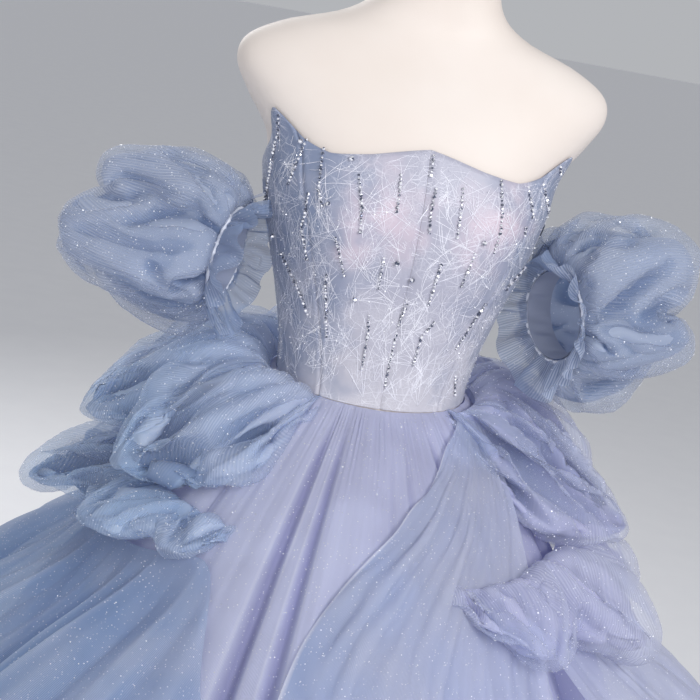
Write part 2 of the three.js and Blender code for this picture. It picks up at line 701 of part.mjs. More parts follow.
// Bands, puffs, frills and tabs of both sleeves
function addSleeves() {
  for (const sleeve of SLEEVES) {
    const frame = sleeveFrame(sleeve);
    const total = sleeve.lobes.length - 1;
    const columns = steps(0, total, total * SLEEVE_SPLIT + 1).slice(0, total * SLEEVE_SPLIT);
    const ring = { ring: true, hand: -sleeve.hand };
    const turned = { ring: true, hand: sleeve.hand };
    const band = (u, v) => {
      const place = BAND_FROM + (BAND_TO - BAND_FROM) * v;
      return sleevePoint(frame, lobe(sleeve, u, 'at'), BAND_RADIUS + BODICE_WALL, place);
    };
    const puff = (u, v) => puffPoint(sleeve, frame, u, v);
    const frill = (u, v) => frillPoint(sleeve, frame, u, v);
    wall(`sleeve_band_${sleeve.side}`, band, columns, [0, 1], BODICE_WALL, GREY, ring);
    wall(`sleeve_puff_${sleeve.side}`, puff, columns, PUFF_DEPTHS, TULLE_WALL, BLUE, ring);
    wall(`sleeve_frill_${sleeve.side}`, frill, columns, FRILL_DEPTHS, TULLE_WALL, BLUE, turned);
    addTab(sleeve, frame);
  }
}

// Strap from the top of a band to the side of the bodice
function addTab(sleeve, frame) {
  const onBand = (u, place) => sleevePoint(frame, TAB_TURN * (u - 0.5), ON_BAND + TULLE_WALL, place);
  const onBodice = (u, z) => {
    const degrees = sleeve.hand * (TAB_AT - TAB_SPAN * (u - 0.5));
    return formPoint(degrees, z, BODICE_EASE + BODICE_WALL + SEAM + TULLE_WALL + 0.1);
  };
  const surface = (u, v) => {
    const path = [onBand(u, 5), onBand(u, -2), onBodice(u, TAB_Z), onBodice(u, TAB_Z + 14)];
    const place = v * (path.length - 1);
    const k = Math.min(path.length - 2, Math.floor(place));
    return path[k].lerp(path[k + 1], place - k);
  };
  const options = { hand: sleeve.hand };
  wall(`sleeve_tab_${sleeve.side}`, surface, [0, 0.5, 1], steps(0, 1, 7), TULLE_WALL, GREY, options);
}

const baseTop = BASE_HEIGHT + SEAM;
const capFrom = FORM_ROWS[FORM_ROWS.length - 1].z + SEAM;
const capTo = capFrom + CAP_HEIGHT;
const baseEdge = BASE_RADIUS - 8;
const baseProfile = [[0, 0], [BASE_RADIUS, 0], [BASE_RADIUS, 10], [baseEdge, BASE_HEIGHT], [0, BASE_HEIGHT]];
const poleProfile = [[0, baseTop], [POLE_RADIUS, baseTop], [POLE_RADIUS, POLE_TOP], [0, POLE_TOP]];
const capEdge = CAP_RADIUS - 8;
const capProfile = [[0, capFrom], [CAP_RADIUS, capFrom], [CAP_RADIUS, capTo - 5], [capEdge, capTo], [0, capTo]];
addTurned('form_base', baseProfile, 40, STEEL);
addTurned('form_pole', poleProfile, 20, STEEL);
addForm();
addTurned('form_cap', capProfile, 28, STEEL);
addBodice();
addLong();
wall('skirt_drape', drapePoint, steps(0, 1, DRAPE_COLUMNS), DRAPE_DEPTHS, TULLE_WALL, BLUE);
addTiers();
addOver();
addSleeves();

export default gown;
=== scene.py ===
"""Ball gown of glitter tulle on a dress form: cloth, lace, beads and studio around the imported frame."""
import json
import math

import bpy
import numpy as np
from mathutils import Matrix, Vector
from mathutils.bvhtree import BVHTree

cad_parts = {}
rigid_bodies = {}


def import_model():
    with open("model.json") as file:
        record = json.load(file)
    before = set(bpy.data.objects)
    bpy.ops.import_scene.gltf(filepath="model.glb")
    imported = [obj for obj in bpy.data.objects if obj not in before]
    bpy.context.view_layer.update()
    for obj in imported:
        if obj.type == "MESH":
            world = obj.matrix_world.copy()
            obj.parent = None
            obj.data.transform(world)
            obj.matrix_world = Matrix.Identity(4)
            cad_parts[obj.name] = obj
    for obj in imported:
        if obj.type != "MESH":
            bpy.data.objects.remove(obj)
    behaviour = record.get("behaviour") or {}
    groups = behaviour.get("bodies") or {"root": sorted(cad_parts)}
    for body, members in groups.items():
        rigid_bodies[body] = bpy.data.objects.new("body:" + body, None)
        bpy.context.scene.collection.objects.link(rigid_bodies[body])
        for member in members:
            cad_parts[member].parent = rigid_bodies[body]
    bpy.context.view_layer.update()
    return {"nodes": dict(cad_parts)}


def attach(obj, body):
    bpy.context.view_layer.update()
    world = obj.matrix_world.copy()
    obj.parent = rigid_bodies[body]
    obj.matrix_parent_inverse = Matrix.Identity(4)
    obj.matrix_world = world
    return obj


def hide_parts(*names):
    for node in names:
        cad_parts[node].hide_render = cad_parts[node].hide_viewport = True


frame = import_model()

# Sizes are in millimetres and angles in degrees from the centre front, as in the frame.
MM = 0.001
SEED = 29


def table(columns, *rows):
    """Short table as one array for each named column."""
    values = np.array(rows, float)
    return {name: values[:, k] for k, name in enumerate(columns.split())}


# Heights, walls and gaps
SEAM = 0.3
BODICE_WALL = 2.0
TULLE_WALL = 1.5
BODICE_EASE = 2.0
WAIST_EASE = 1.3
WAIST_MID = 1050
WAIST_DIP = 10
HEM_Z = 9

# Form sections, floor to neck: half width, depth in front and behind, fullness of each cup
FORM = table(
    "z half front back cup",
    (770, 138, 94, 104, 0), (805, 152, 103, 116, 0), (860, 158, 107, 120, 0), (930, 146, 101, 110, 0),
    (990, 117, 90, 91, 0), (1022, 103, 83, 82, 0), (1050, 97, 80, 78, 0), (1085, 100, 85, 81, 0),
    (1135, 112, 94, 88, 3), (1180, 126, 104, 94, 9), (1215, 136, 109, 98, 12), (1250, 144, 108, 101, 8),
    (1290, 151, 98, 102, 2), (1325, 175, 84, 100, 0), (1355, 191, 70, 93, 0), (1380, 184, 58, 82, 0),
    (1401, 148, 49, 71, 0), (1418, 98, 44, 63, 0), (1436, 70, 44, 59, 0), (1462, 58, 46, 55, 0),
    (1512, 55, 47, 53, 0),
)
FORM_POWER = 0.9
CUP_AT = 36
CUP_SPREAD = 20

# Bodice: its top edge by angle, and its seams at the top edge and the waist
NECKLINE = table(
    "at z",
    (0, 1305), (19, 1292), (36, 1286), (49, 1294), (61, 1317), (76, 1283), (92, 1262), (120, 1250),
    (150, 1241), (180, 1237),
)
BODICE_SEAMS = table("top waist", (0, 0), (52, 36), (93, 90), (138, 143), (180, 180))
PANELS = ("front", "side_front", "side_back", "back")
SIDES = (("left", 1), ("right", -1))
PLACKET_WIDTH = 12

# Long layer: radius by the drop below the waist, and ridges by angle at waist and hem
LONG = table(
    "drop side front back",
    (0, 100, 83.6, 81.6), (12, 113, 93, 93), (50, 148, 128, 130), (98, 183, 172, 170),
    (148, 217, 214, 208), (198, 249, 250, 244), (268, 291, 296, 291), (448, 393, 400, 398),
    (748, 520, 535, 535), (1055, 612, 640, 635),
)
RIDGES = table(
    "top hem out",
    (2, 1, 16), (9.5, 9, 21), (17, 16, 25), (25, 25, 16), (34, 34, 22), (44, 45, 20), (57, 60, 24),
    (75, 78, 26), (96, 98, 20), (117, 119, 25), (139, 140, 22), (160, 161, 26), (181, 181, 22),
    (202, 201, 25), (224, 222, 21), (245, 243, 26), (266, 264, 22), (286, 283, 25), (303, 299, 22),
    (314, 310, 18), (322, 319, 22), (330, 328, 26), (338, 336, 12), (346, 344, 26), (354, 352, 18),
)
RIDGE_MOST = 26
VALLEY_SHARE = 0.7
BUBBLE = 9
# Gores of the long layer, from one place counted in ridges to the next, and their points for each ridge
GORES = (
    ("skirt_front", -6.5, 5.5, 22),
    ("skirt_left", 5.5, 9.5, 16),
    ("skirt_back", 9.5, 14.5, 16),
    ("skirt_right", 14.5, 18.5, 16),
)
GORE_GAP = 0.002
# Small folds of the long layer: height, and how many there are to a ridge
LONG_GATHERS = (2.2, 9)
LONG_CREASES = (2.2, 0.9)
LONG_RIPPLES = (0.7, 6)
LONG_FACETS = (4.5, 0.8)
FACET_ROWS = 5
# Soft swell under the waist in front: middle and spread, down the layer and in degrees
BUBBLE_AT = (0.03, 3)
BUBBLE_SPREAD = (0.022, 13)
# Painted highlight beside a valley: how far off, in half widths of the valley, and its spread
VALLEY_PAINTED_HIGHLIGHT = (1.4, 0.035)

# Front drape: angle of its free and its hidden edge, by height
DRAPE = table(
    "z free hidden",
    (1046, 56, 67), (1020, 36, 62), (965, 11, 54), (905, -8, 46), (825, -16, 41), (400, -20, 38),
    (9, -22, 37),
)
# Drape's top, its waves, and creases and swells by height, held from lying too deep
DRAPE_TOP = 1041
DRAPE_WAVES = 3
DRAPE_WAVE = 14
DRAPE_CREASE = 5
DRAPE_SWELL = 5
DRAPE_LEAST = -3

# Puff tiers, front edge to centre back: angle, seam height, reach, fold height, crown, flatness
TIER_COLUMNS = "at top reach low rise flat"
UPPER_LEFT = table(
    TIER_COLUMNS,
    (46, 1041, 150, 1000, 0, 0.7), (54, 1043, 212, 952, 4, 0.7), (64, 1045, 250, 946, 10, 0.7),
    (76, 1046, 304, 946, 14, 0.7), (86, 1047, 252, 974, 18, 0.5), (98, 1048, 284, 962, 24, 0.3),
    (110, 1050, 246, 979, 26, 0.3), (126, 1052, 290, 958, 26, 0.3), (142, 1054, 250, 978, 24, 0.3),
    (160, 1056, 284, 960, 22, 0.3), (179.9, 1057, 262, 970, 20, 0.3),
)
UPPER_RIGHT = table(
    TIER_COLUMNS,
    (37, 1040, 150, 1000, 0, 0.6), (45, 1042, 208, 957, 4, 0.6), (58, 1044, 226, 950, 12, 0.5),
    (72, 1045, 278, 950, 16, 0.5), (82, 1046, 240, 974, 20, 0.4), (96, 1048, 304, 970, 28, 0.3),
    (109, 1050, 258, 982, 28, 0.3), (124, 1052, 306, 960, 28, 0.3), (141, 1054, 262, 978, 25, 0.3),
    (160, 1056, 292, 960, 22, 0.3), (179.9, 1057, 262, 970, 20, 0.3),
)
LOWER_LEFT = table(
    TIER_COLUMNS,
    (13, 905, 240, 893, 0, 0.6), (25, 908, 284, 880, 4, 0.6), (39, 911, 306, 858, 8, 0.6),
    (50, 914, 286, 872, 10, 0.6), (64, 918, 344, 850, 12, 0.6), (77, 922, 300, 868, 12, 0.4),
    (92, 927, 350, 848, 14, 0.3), (108, 930, 308, 866, 14, 0.3), (126, 932, 354, 848, 14, 0.3),
    (144, 934, 312, 868, 14, 0.3), (162, 935, 346, 850, 14, 0.3), (179.9, 936, 322, 860, 14, 0.3),
)
LOWER_RIGHT = table(
    TIER_COLUMNS,
    (37, 918, 230, 908, 0, 0.6), (46, 921, 272, 893, 5, 0.6), (56, 923, 250, 902, 7, 0.5),
    (71, 925, 304, 888, 9, 0.5), (84, 928, 276, 896, 11, 0.4), (99, 931, 356, 882, 14, 0.3),
    (113, 933, 306, 890, 14, 0.3), (129, 934, 358, 880, 14, 0.3), (145, 935, 312, 890, 14, 0.3),
    (162, 936, 346, 880, 14, 0.3), (179.9, 936, 322, 884, 14, 0.3),
)
# Tiers with the side that they are on and how far each lies over the long layer
TIERS = (
    ("puff_upper_left", UPPER_LEFT, 1, 7.5),
    ("puff_upper_right", UPPER_RIGHT, -1, 0.3),
    ("puff_lower_left", LOWER_LEFT, 1, 13),
    ("puff_lower_right", LOWER_RIGHT, -1, -1.1),
)
TIER_FOLD = 0.72
LIP_DEPTH = 34
LIP_DROP = 7

# Over layer: radius by height, and ridges from its front edge to the centre back
OVER = table(
    "z radius",
    (0, 700), (230, 655), (440, 598), (600, 528), (690, 468), (748, 412), (790, 358), (826, 302),
    (856, 262), (872, 248),
)
OVER_LEFT = table(
    "at out", (45, 4), (62, 30), (80, 24), (100, 32), (119, 24), (140, 31), (160, 25), (179.95, 18)
)
OVER_RIGHT = table(
    "at out", (27, 6), (51, 32), (70, 26), (92, 33), (114, 24), (137, 31), (159, 25), (179.95, 18)
)
# Top edge of the over layer near the front: lift, and cut on each side, with their spreads in ridges
OVER_LIFT = 34
LIFT_SPREAD = 1.2
OVER_DROP = {1: 0, -1: 120}
DROP_SPREAD = 0.35
OVER_SEAT_FADE = 25
# How far drape and over layer are kept from the long layer, and how softly
DRAPE_CLEAR = 1
OVER_CLEAR = 5
SOFT_CLEAR = 9
OVERS = (("left", 1, 838, OVER_LEFT), ("right", -1, 872, OVER_RIGHT))

# Sleeves: lobes from the top round by the front, as reach, length and frill
LOBE_COLUMNS = "at reach long frill"
LOBES_LEFT = table(
    LOBE_COLUMNS,
    (0, 98, 104, 14), (38, 112, 128, 26), (82, 76, 100, 30), (106, 98, 122, 34), (133, 76, 92, 30),
    (168, 108, 86, 36), (208, 82, 90, 30), (240, 100, 106, 22), (276, 80, 92, 9), (318, 98, 110, 9),
    (360, 98, 104, 14),
)
LOBES_RIGHT = table(
    LOBE_COLUMNS,
    (0, 84, 112, 12), (26, 92, 132, 16), (56, 72, 116, 20), (92, 100, 146, 28), (124, 96, 138, 32),
    (150, 78, 112, 28), (180, 98, 92, 32), (214, 78, 96, 26), (248, 94, 108, 18), (284, 76, 94, 11),
    (322, 88, 108, 11), (360, 84, 112, 12),
)
SLEEVES = (("left", 1, (182, -40, 1156), LOBES_LEFT), ("right", -1, (-186, -30, 1166), LOBES_RIGHT))
# Arm's direction, how crisp lobes are, and places along the arm with radii
ARM_LINE = (0.9, 0.36, 0.12)
LOBE_CRISP = 0.35
BAND_RADIUS = 44
BAND_FROM = -16
BAND_TO = 14
PUFF_FROM = -13
PUFF_INSET = 4
FRILL_SETBACK = 2.5
FRILL_DEPTH = 26
FRILL_WAVE = (2, 3.5)
ELASTIC_RADIUS = 1.8
CUFF_RADIUS = 45
ON_BAND = BAND_RADIUS + BODICE_WALL + 2 * SEAM
# Tab: its span on the band and on the bodice in degrees, its places along the arm and up the bodice
TAB_TURN = 18
TAB_AT = 83
TAB_SPAN = 7
TAB_Z = 1228
TAB_ON_BAND = (5.0, -2.0)
TAB_ON_BODICE = (0, 14)

# Camera, as the photograph's: turn, height and roll in degrees, metres from the target, lens in pixels
PHOTO_PIXELS = 700
CAMERA_TURN = -9.6
CAMERA_HEIGHT = 12.9
CAMERA_ROLL = 10.3
CAMERA_DISTANCE = 1.6
CAMERA_TARGET = (-0.027, 0, 1.077)
CAMERA_PIXELS = 1525
SENSOR = 36

# Bead strings on the bodice's front, each from its top to its foot, in the photograph's pixels
BEAD_STRINGS = (
    ((279, 115), (278, 141)), ((276, 142), (266, 199), (266, 222)),
    ((261, 154), (259, 177), (263, 196)), ((309, 134), (288, 186)),
    ((324, 144), (319, 190), (323, 207)), ((309, 194), (302, 228), (308, 260)),
    ((336, 238), (345, 278)), ((359, 175), (362, 205), (360, 233)),
    ((401, 175), (399, 199), (396, 214)), ((434, 156), (431, 178)),
    ((436, 189), (431, 212), (429, 236)), ((463, 189), (460, 217), (457, 240)),
    ((501, 181), (502, 212), (500, 232), (493, 255)), ((526, 177), (533, 219)),
    ((543, 185), (548, 213), (547, 240), (542, 252)), ((560, 159), (559, 219), (556, 228)),
    ((525, 228), (524, 236)), ((538, 244), (527, 264), (505, 289)),
    ((537, 266), (523, 284), (511, 298)), ((441, 265), (428, 306)), ((475, 254), (461, 287)),
    ((485, 304), (475, 318), (454, 351)), ((282, 254), (301, 294), (309, 317)),
    ((327, 275), (326, 285), (327, 337)), ((384, 258), (378, 291)),
    ((407, 305), (396, 333), (386, 376), (384, 388)), ((369, 315), (368, 334), (362, 369)),
    ((434, 322), (421, 337), (413, 365)), ((455, 376), (454, 397)),
)
CRYSTALS = ((355, 299), (274, 236), (413, 280), (484, 243), (397, 263), (329, 204), (352, 159), (302, 141))


# Short names: radians, even steps with both ends kept, and the columns and rows of a lattice
rad = np.radians
steps = np.linspace
lattice = np.meshgrid


def spline(rows, key, at, column):
    """Column of a table at a key, as a smooth curve through the rows."""
    x, y = rows[key], rows[column]
    if x[0] > x[-1]:
        x, y = x[::-1], y[::-1]
    at = np.clip(at, x[0], x[-1])
    i = np.clip(np.searchsorted(x, at, side="right") - 1, 0, len(x) - 2)
    before = np.maximum(i - 1, 0)
    after = np.minimum(i + 2, len(x) - 1)
    gap = x[i + 1] - x[i]
    s = (at - x[i]) / gap
    first = (y[i + 1] - y[before]) / (x[i + 1] - x[before]) * gap
    last = (y[after] - y[i]) / (x[after] - x[i]) * gap
    start = y[i] * (2 * s**3 - 3 * s**2 + 1) + first * (s**3 - 2 * s**2 + s)
    return start + y[i + 1] * (3 * s**2 - 2 * s**3) + last * (s**3 - s**2)


def counted(rows, count, column, crisp):
    """Column of a table at a place counted in rows, from a smooth curve (0) to straight lines (1)."""
    places = {"n": np.arange(len(rows[column]), dtype=float), column: rows[column]}
    sharp = np.interp(count, places["n"], rows[column])
    return crisp * sharp + (1 - crisp) * spline(places, "n", count, column)


# Sizes of the random lattices behind uneven waves and fields
WAVE_CELLS = 512
FIELD_CELLS = 64


def eased(s):
    """Share from 0 to 1 with soft ends."""
    return s * s * (3 - 2 * s)


def rise(low, high, x):
    """Soft step from 0 at the low end to 1 at the high end."""
    return eased(np.clip((x - low) / (high - low), 0, 1))


def bell(x, middle, spread):
    """Bell curve, 1 at its middle."""
    return np.exp(-(((x - middle) / spread) ** 2))


def noise(x, seed):
    """Smooth uneven wave from -1 to 1, about one swing for each unit."""
    heights = np.random.default_rng(seed).uniform(-1, 1, WAVE_CELLS)
    k = np.floor(x).astype(int)
    s = eased(x - k)
    return heights[k % WAVE_CELLS] * (1 - s) + heights[(k + 1) % WAVE_CELLS] * s


def field(x, y, seed, around):
    """Random heights at the four corners of the cell about each place, and the shares across it."""
    heights = np.random.default_rng(seed).uniform(-1, 1, (FIELD_CELLS, FIELD_CELLS))
    i, j = np.floor(x).astype(int), np.floor(y).astype(int)
    corners = [heights[(i + a) % around, (j + b) % FIELD_CELLS] for b in (0, 1) for a in (0, 1)]
    return corners, x - i, y - j


def noise2(x, y, seed):
    """Smooth uneven field from -1 to 1 over two directions."""
    (a, b, c, d), s, t = field(x, y, seed, FIELD_CELLS)
    s, t = eased(s), eased(t)
    return (a * (1 - s) + b * s) * (1 - t) + (c * (1 - s) + d * s) * t


def facets(x, y, seed, around=FIELD_CELLS):
    """Uneven field of flat facets with sharp edges, from -1 to 1, that repeats after a count of cells."""
    (a, b, c, d), s, t = field(x, y, seed, around)
    near = a + (b - a) * s + (c - a) * t
    far = d + (c - d) * (1 - s) + (b - d) * (1 - t)
    return np.where(s + t < 1, near, far)


# Sharp ridges: how steep they are, and how round on top
CREASE_STEEP = 3.2
CREASE_ROUND = 0.0025
# Small folds: two sets of ridges by height, number and slant, and swells by height and number each way
TIER_CRUMPLE = ((5, 1.9, 0.5), (2.6, 4.7, -0.6), (6, 1.3, 2.2))
OVER_CRUMPLE = ((17, 1.1, 0.4), (8, 2.7, 0.6), (14, 0.9, 3))
PUFF_CRUMPLE = ((6, 1.7, 0.9), (3, 4.3, -1.3), (7, 1.4, 4))


def creases(wave):
    """Sharp ridges, from -1 to 1, where an uneven wave passes through nothing."""
    return 1 - CREASE_STEEP * np.sqrt(wave**2 + CREASE_ROUND)


def crumple(folds, count, s, seed):
    """Small uneven folds at a place counted in rows and a share of the way down."""
    (high, many, slant), (low, close, lean), (swell, wide, long) = folds
    sharp = high * creases(noise(count * many + slant * s, seed))
    sharp = sharp + low * creases(noise(count * close + lean * s, seed + 1))
    return sharp + swell * noise2(count * wide, s * long, seed + 2)


def polar(degrees, radius, z):
    """Points at an angle from the front, a radius from the axis and a height."""
    turn = rad(degrees)
    return np.stack(np.broadcast_arrays(radius * np.sin(turn), -radius * np.cos(turn), z), axis=-1)


def squared(value):
    """Signed power, for a section squarer than an ellipse."""
    return np.sign(value) * np.abs(value) ** FORM_POWER


def fold(degrees):
    """Angle from the front, either way round."""
    return np.abs((degrees + 540) % 360 - 180)


def form_point(degrees, z, out):
    """Points of the form at an angle and height, with its section moved out."""
    cos = np.cos(rad(degrees))
    half = spline(FORM, "z", z, "half")
    depth = np.where(cos > 0, spline(FORM, "z", z, "front"), spline(FORM, "z", z, "back"))
    cup = spline(FORM, "z", z, "cup") * bell(fold(degrees), CUP_AT, CUP_SPREAD)
    x = half * squared(np.sin(rad(degrees)))
    y = -(depth + cup) * squared(cos)
    flat = unit(np.stack([x / half**2, y / depth**2], axis=-1))
    return np.stack(np.broadcast_arrays(x + flat[..., 0] * out, y + flat[..., 1] * out, z), axis=-1)


def waist_z(degrees):
    """Height of the waist seam at an angle."""
    return WAIST_MID - WAIST_DIP * np.cos(rad(degrees))


def neckline_z(degrees):
    """Height of the bodice's top edge at an angle."""
    sharp = np.interp(fold(degrees), NECKLINE["at"], NECKLINE["z"])
    return 0.5 * sharp + 0.5 * spline(NECKLINE, "at", fold(degrees), "z")


def bodice_point(degrees, v, lift=0.0):
    """Outer face of the bodice at an angle, from its top edge (0) to the waist (1)."""
    z = neckline_z(degrees) * (1 - v) + (waist_z(degrees) + SEAM) * v
    ease = WAIST_EASE + (BODICE_EASE - WAIST_EASE) * np.minimum(1, np.abs(1 - v) * 2.5)
    return form_point(degrees, z, ease + BODICE_WALL + lift)


def long_radius(degrees, z):
    """Radius of the long layer without its folds, as square as the form at the waist and round below."""
    cos, sin = np.cos(rad(degrees)), np.abs(np.sin(rad(degrees)))
    drop = np.maximum(0, waist_z(degrees) - z)
    side = spline(LONG, "drop", drop, "side")
    depth = np.where(cos > 0, spline(LONG, "drop", drop, "front"), spline(LONG, "drop", drop, "back"))
    power = 2 + (2 / FORM_POWER - 2) * np.exp(-drop / 40)
    return ((sin / side) ** power + (np.abs(cos) / depth) ** power) ** (-1 / power)


def opened(v):
    """How far folds have opened at a share of the way down."""
    return 0.04 + 0.96 * np.minimum(1, np.maximum(v, 0) * 1.6) ** 0.75


def fold_wave(share):
    """Rounded fold, 1 on the ridge at 0 and 1, and in the valley between them less than 0."""
    turn = 2 * np.pi * share
    wave = (np.cos(turn) + np.cos(3 * turn) / 9) / (1 + 1 / 9)
    return wave * (1 + VALLEY_SHARE) / 2 + (1 - VALLEY_SHARE) / 2


# Valleys of the long layer that show in front, after the ridge of that number: depth and half width; the
# depth also sets their painted shade
FRONT_VALLEYS = table(
    "after depth wide",
    (-7, 0.3, 0.2), (-6, 0.06, 0.16), (-5, 0.04, 0.12), (-4, 1.0, 0.24), (-3, 0.8, 0.2),
    (-2, 0.1, 0.14), (-1, 0.04, 0.12), (0, 0.2, 0.16), (1, 0.35, 0.18), (2, 0.1, 0.14),
)


def valleys(k):
    """Depth and half width of the valley after each ridge: named ones in front, uneven ones behind."""
    total = len(RIDGES["top"])
    random = np.random.default_rng(SEED + 12)
    depth, wide = random.uniform(0.3, 1.0, total), random.uniform(0.13, 0.25, total)
    named = FRONT_VALLEYS["after"].astype(int) % total
    depth[named], wide[named] = FRONT_VALLEYS["depth"], FRONT_VALLEYS["wide"]
    return depth[k % total], wide[k % total]


def long_point(count, v):
    """Long layer at a place counted in ridges, with gathers that fade below the waist, and its tone of
    painted shade in the valleys and painted highlight beside them.
    """
    total = len(RIDGES["top"])
    k = np.floor(count).astype(int)
    share = count - k

    def ridge(n):
        top, hem = RIDGES["top"][n % total], RIDGES["hem"][n % total]
        return top + (hem - top) * v**0.7 + 360 * np.floor_divide(n, total), RIDGES["out"][n % total]

    at_a, out_a = ridge(k)
    at_b, out_b = ridge(k + 1)
    degrees = at_a + (at_b - at_a) * share
    out = out_a + (out_b - out_a) * share
    depth, wide = valleys(k)
    hollow = depth * bell(share, 0.5, wide)
    top = waist_z(degrees) - 2 * SEAM
    z = top - v * (top - HEM_Z)
    high, many = LONG_GATHERS
    gathers = high * noise(count * many, SEED) * np.exp(-v / 0.05) * rise(0, 0.012, v)
    high, many = LONG_CREASES
    soft = high * creases(noise(count * many + 0.5 * v, SEED + 1)) * rise(0.02, 0.3, v)
    high, many = LONG_RIPPLES
    ripples = high * noise(count * many + v, SEED + 2) * rise(0.02, 0.2, v)
    high, many = LONG_FACETS
    uneven = count * many + 0.5 * noise2(count * 0.5, v * FACET_ROWS, SEED + 13)
    flat = high * facets(uneven, v * FACET_ROWS, SEED + 14) * rise(0.01, 0.12, v)
    turn = (degrees + 180) % 360 - 180
    down = (v - BUBBLE_AT[0]) / BUBBLE_SPREAD[0]
    aside = (turn - BUBBLE_AT[1]) / BUBBLE_SPREAD[1]
    bubble = BUBBLE * np.exp(-(down**2) - aside**2)
    wave = out * (1 - (1 + VALLEY_SHARE) * hollow) * opened(v)
    lift = wave + gathers + soft + ripples + flat + bubble
    # Tone: painted shade in each valley and painted highlight on the rims beside it
    edge = depth * bell(np.abs(share - 0.5), VALLEY_PAINTED_HIGHLIGHT[0] * wide, VALLEY_PAINTED_HIGHLIGHT[1])
    return polar(degrees, long_radius(degrees, z) + lift, z), (hollow - 0.5 * edge) * rise(0, 0.06, v)


def lie_on(degrees, z, over):
    """Radius on which the next layer lies, over the ridges below it and a little more."""
    v = np.maximum(0, (waist_z(degrees) - z) / (waist_z(degrees) - HEM_Z))
    return long_radius(degrees, z) + RIDGE_MOST * opened(v) + SEAM + over


def kept_outside(points, over):
    """Points moved out, with their folds, where they would lie under the long layer's folds."""
    degrees = np.degrees(np.arctan2(points[..., 0], -points[..., 1]))
    radius = np.hypot(points[..., 0], points[..., 1])
    least = lie_on(degrees, points[..., 2], over)
    return polar(degrees, least + SOFT_CLEAR * np.logaddexp(0, (radius - least) / SOFT_CLEAR), points[..., 2])


def drape_point(u, v):
    """Front drape from its free edge (0) to its hidden edge (1), with creases along the sweep."""
    z = DRAPE_TOP - v * (DRAPE_TOP - HEM_Z)
    free = spline(DRAPE, "z", z, "free")
    hidden = spline(DRAPE, "z", z, "hidden")
    degrees = free + (hidden - free) * u
    wave = 0.5 - 0.5 * np.cos(2 * np.pi * DRAPE_WAVES * u)
    lift = waist_z(degrees) - WAIST_MID + WAIST_DIP * math.cos(rad(50))
    clear = TULLE_WALL + 0.4 + 4 * np.minimum(1, v * 60)
    small = DRAPE_CREASE * creases(noise(u * 3.2 + 1.8 * v, SEED + 3))
    small = (small + DRAPE_SWELL * noise2(u * 3, v * 4, SEED + 4)) * rise(0, 0.1, v)
    small = np.maximum(small, DRAPE_LEAST)
    radius = lie_on(degrees, z, clear) + DRAPE_WAVE * wave * opened(v) + small
    return polar(degrees, radius, z + lift * (1 - v))


def tier_point(rows, hand, over, count, v, seed):
    """Puff tier at a place counted in its rows: from its seam, over a crown, to a fold that turns under."""
    def mix(column):
        return counted(rows, count, column, 0.5)

    degrees = hand * mix("at")
    top, low, flat = mix("top"), mix("low"), mix("flat")
    root = lie_on(degrees, top, over) + TULLE_WALL
    inner = lie_on(degrees, low, over) + TULLE_WALL + 4
    reach = np.maximum(mix("reach"), inner + 4)
    s = np.minimum(v / TIER_FOLD, 1)
    turn = np.pi * np.maximum(v - TIER_FOLD, 0) / (1 - TIER_FOLD)
    out = (1 - flat) * np.sin(np.pi * s / 2) ** 0.92 + flat * s**0.95
    fall = (1 - flat) * (1 - np.cos(np.pi * s / 2)) ** 1.15 + flat * s**1.15
    depth = np.minimum(LIP_DEPTH, reach - inner)
    radius = root + (reach - root) * out - depth * (1 - np.cos(turn)) / 2
    z = top + mix("rise") * np.sin(np.pi * np.sqrt(s)) - (top - low) * fall - LIP_DROP * np.sin(turn)
    grown = rise(0, 0.5, s) * (1 - 0.75 * rise(0, np.pi, turn))
    small = crumple(TIER_CRUMPLE, count, s, seed) + 1.5 * noise(count * 13, seed + 3)
    gathers = 2.2 * noise(count * 11, seed + 4) * np.exp(-s / 0.12) * rise(0, 0.04, s)
    return polar(degrees, radius, z), small * grown + gathers


def over_point(hand, top, ridges, count, v, seed):
    """Over layer at a place counted in ridges from its front edge."""
    k = np.clip(np.floor(count).astype(int), 0, len(ridges["at"]) - 2)
    share = count - k
    degrees = hand * (ridges["at"][k] + (ridges["at"][k + 1] - ridges["at"][k]) * share)
    out = ridges["out"][k] + (ridges["out"][k + 1] - ridges["out"][k]) * share
    top = top + OVER_LIFT * bell(count, 0, LIFT_SPREAD) - OVER_DROP[hand] * bell(count, 0, DROP_SPREAD)
    z = top - v * (top - HEM_Z)
    seat = lie_on(degrees, top, 0.3) + TULLE_WALL - spline(OVER, "z", top, "radius")
    radius = spline(OVER, "z", z, "radius") + seat * np.exp((z - top) / OVER_SEAT_FADE)
    small = crumple(OVER_CRUMPLE, count, v, seed) * rise(0, 0.12, v)
    return polar(degrees, radius + out * fold_wave(share) * opened(v) * np.minimum(1, v * 6) + small, z)


def unit(vectors):
    """Vectors at a length of one, along the last axis."""
    return vectors / np.maximum(np.linalg.norm(vectors, axis=-1, keepdims=True), 1e-9)


def sleeve_frame(hand):
    """Directions of a sleeve: along the arm, up and forward."""
    along = unit((ARM_LINE[0] * hand, ARM_LINE[1], ARM_LINE[2]))
    up = unit(np.array((0, 0, 1)) - along * along[2])
    ahead = unit(np.array((0, -1, 0)) + along * along[1] + up * up[1])
    return along, up, ahead


def sleeve_point(centre, hand, degrees, radius, place):
    """Points of a sleeve at an angle from the top round by the front, a radius and a place along the arm."""
    along, up, ahead = sleeve_frame(hand)
    turn = rad(degrees)
    degrees, radius, place = np.broadcast_arrays(degrees, radius, place)
    round_arm = up * (radius * np.cos(turn))[..., None] + ahead * (radius * np.sin(turn))[..., None]
    return np.array(centre, float) + along * place[..., None] + round_arm


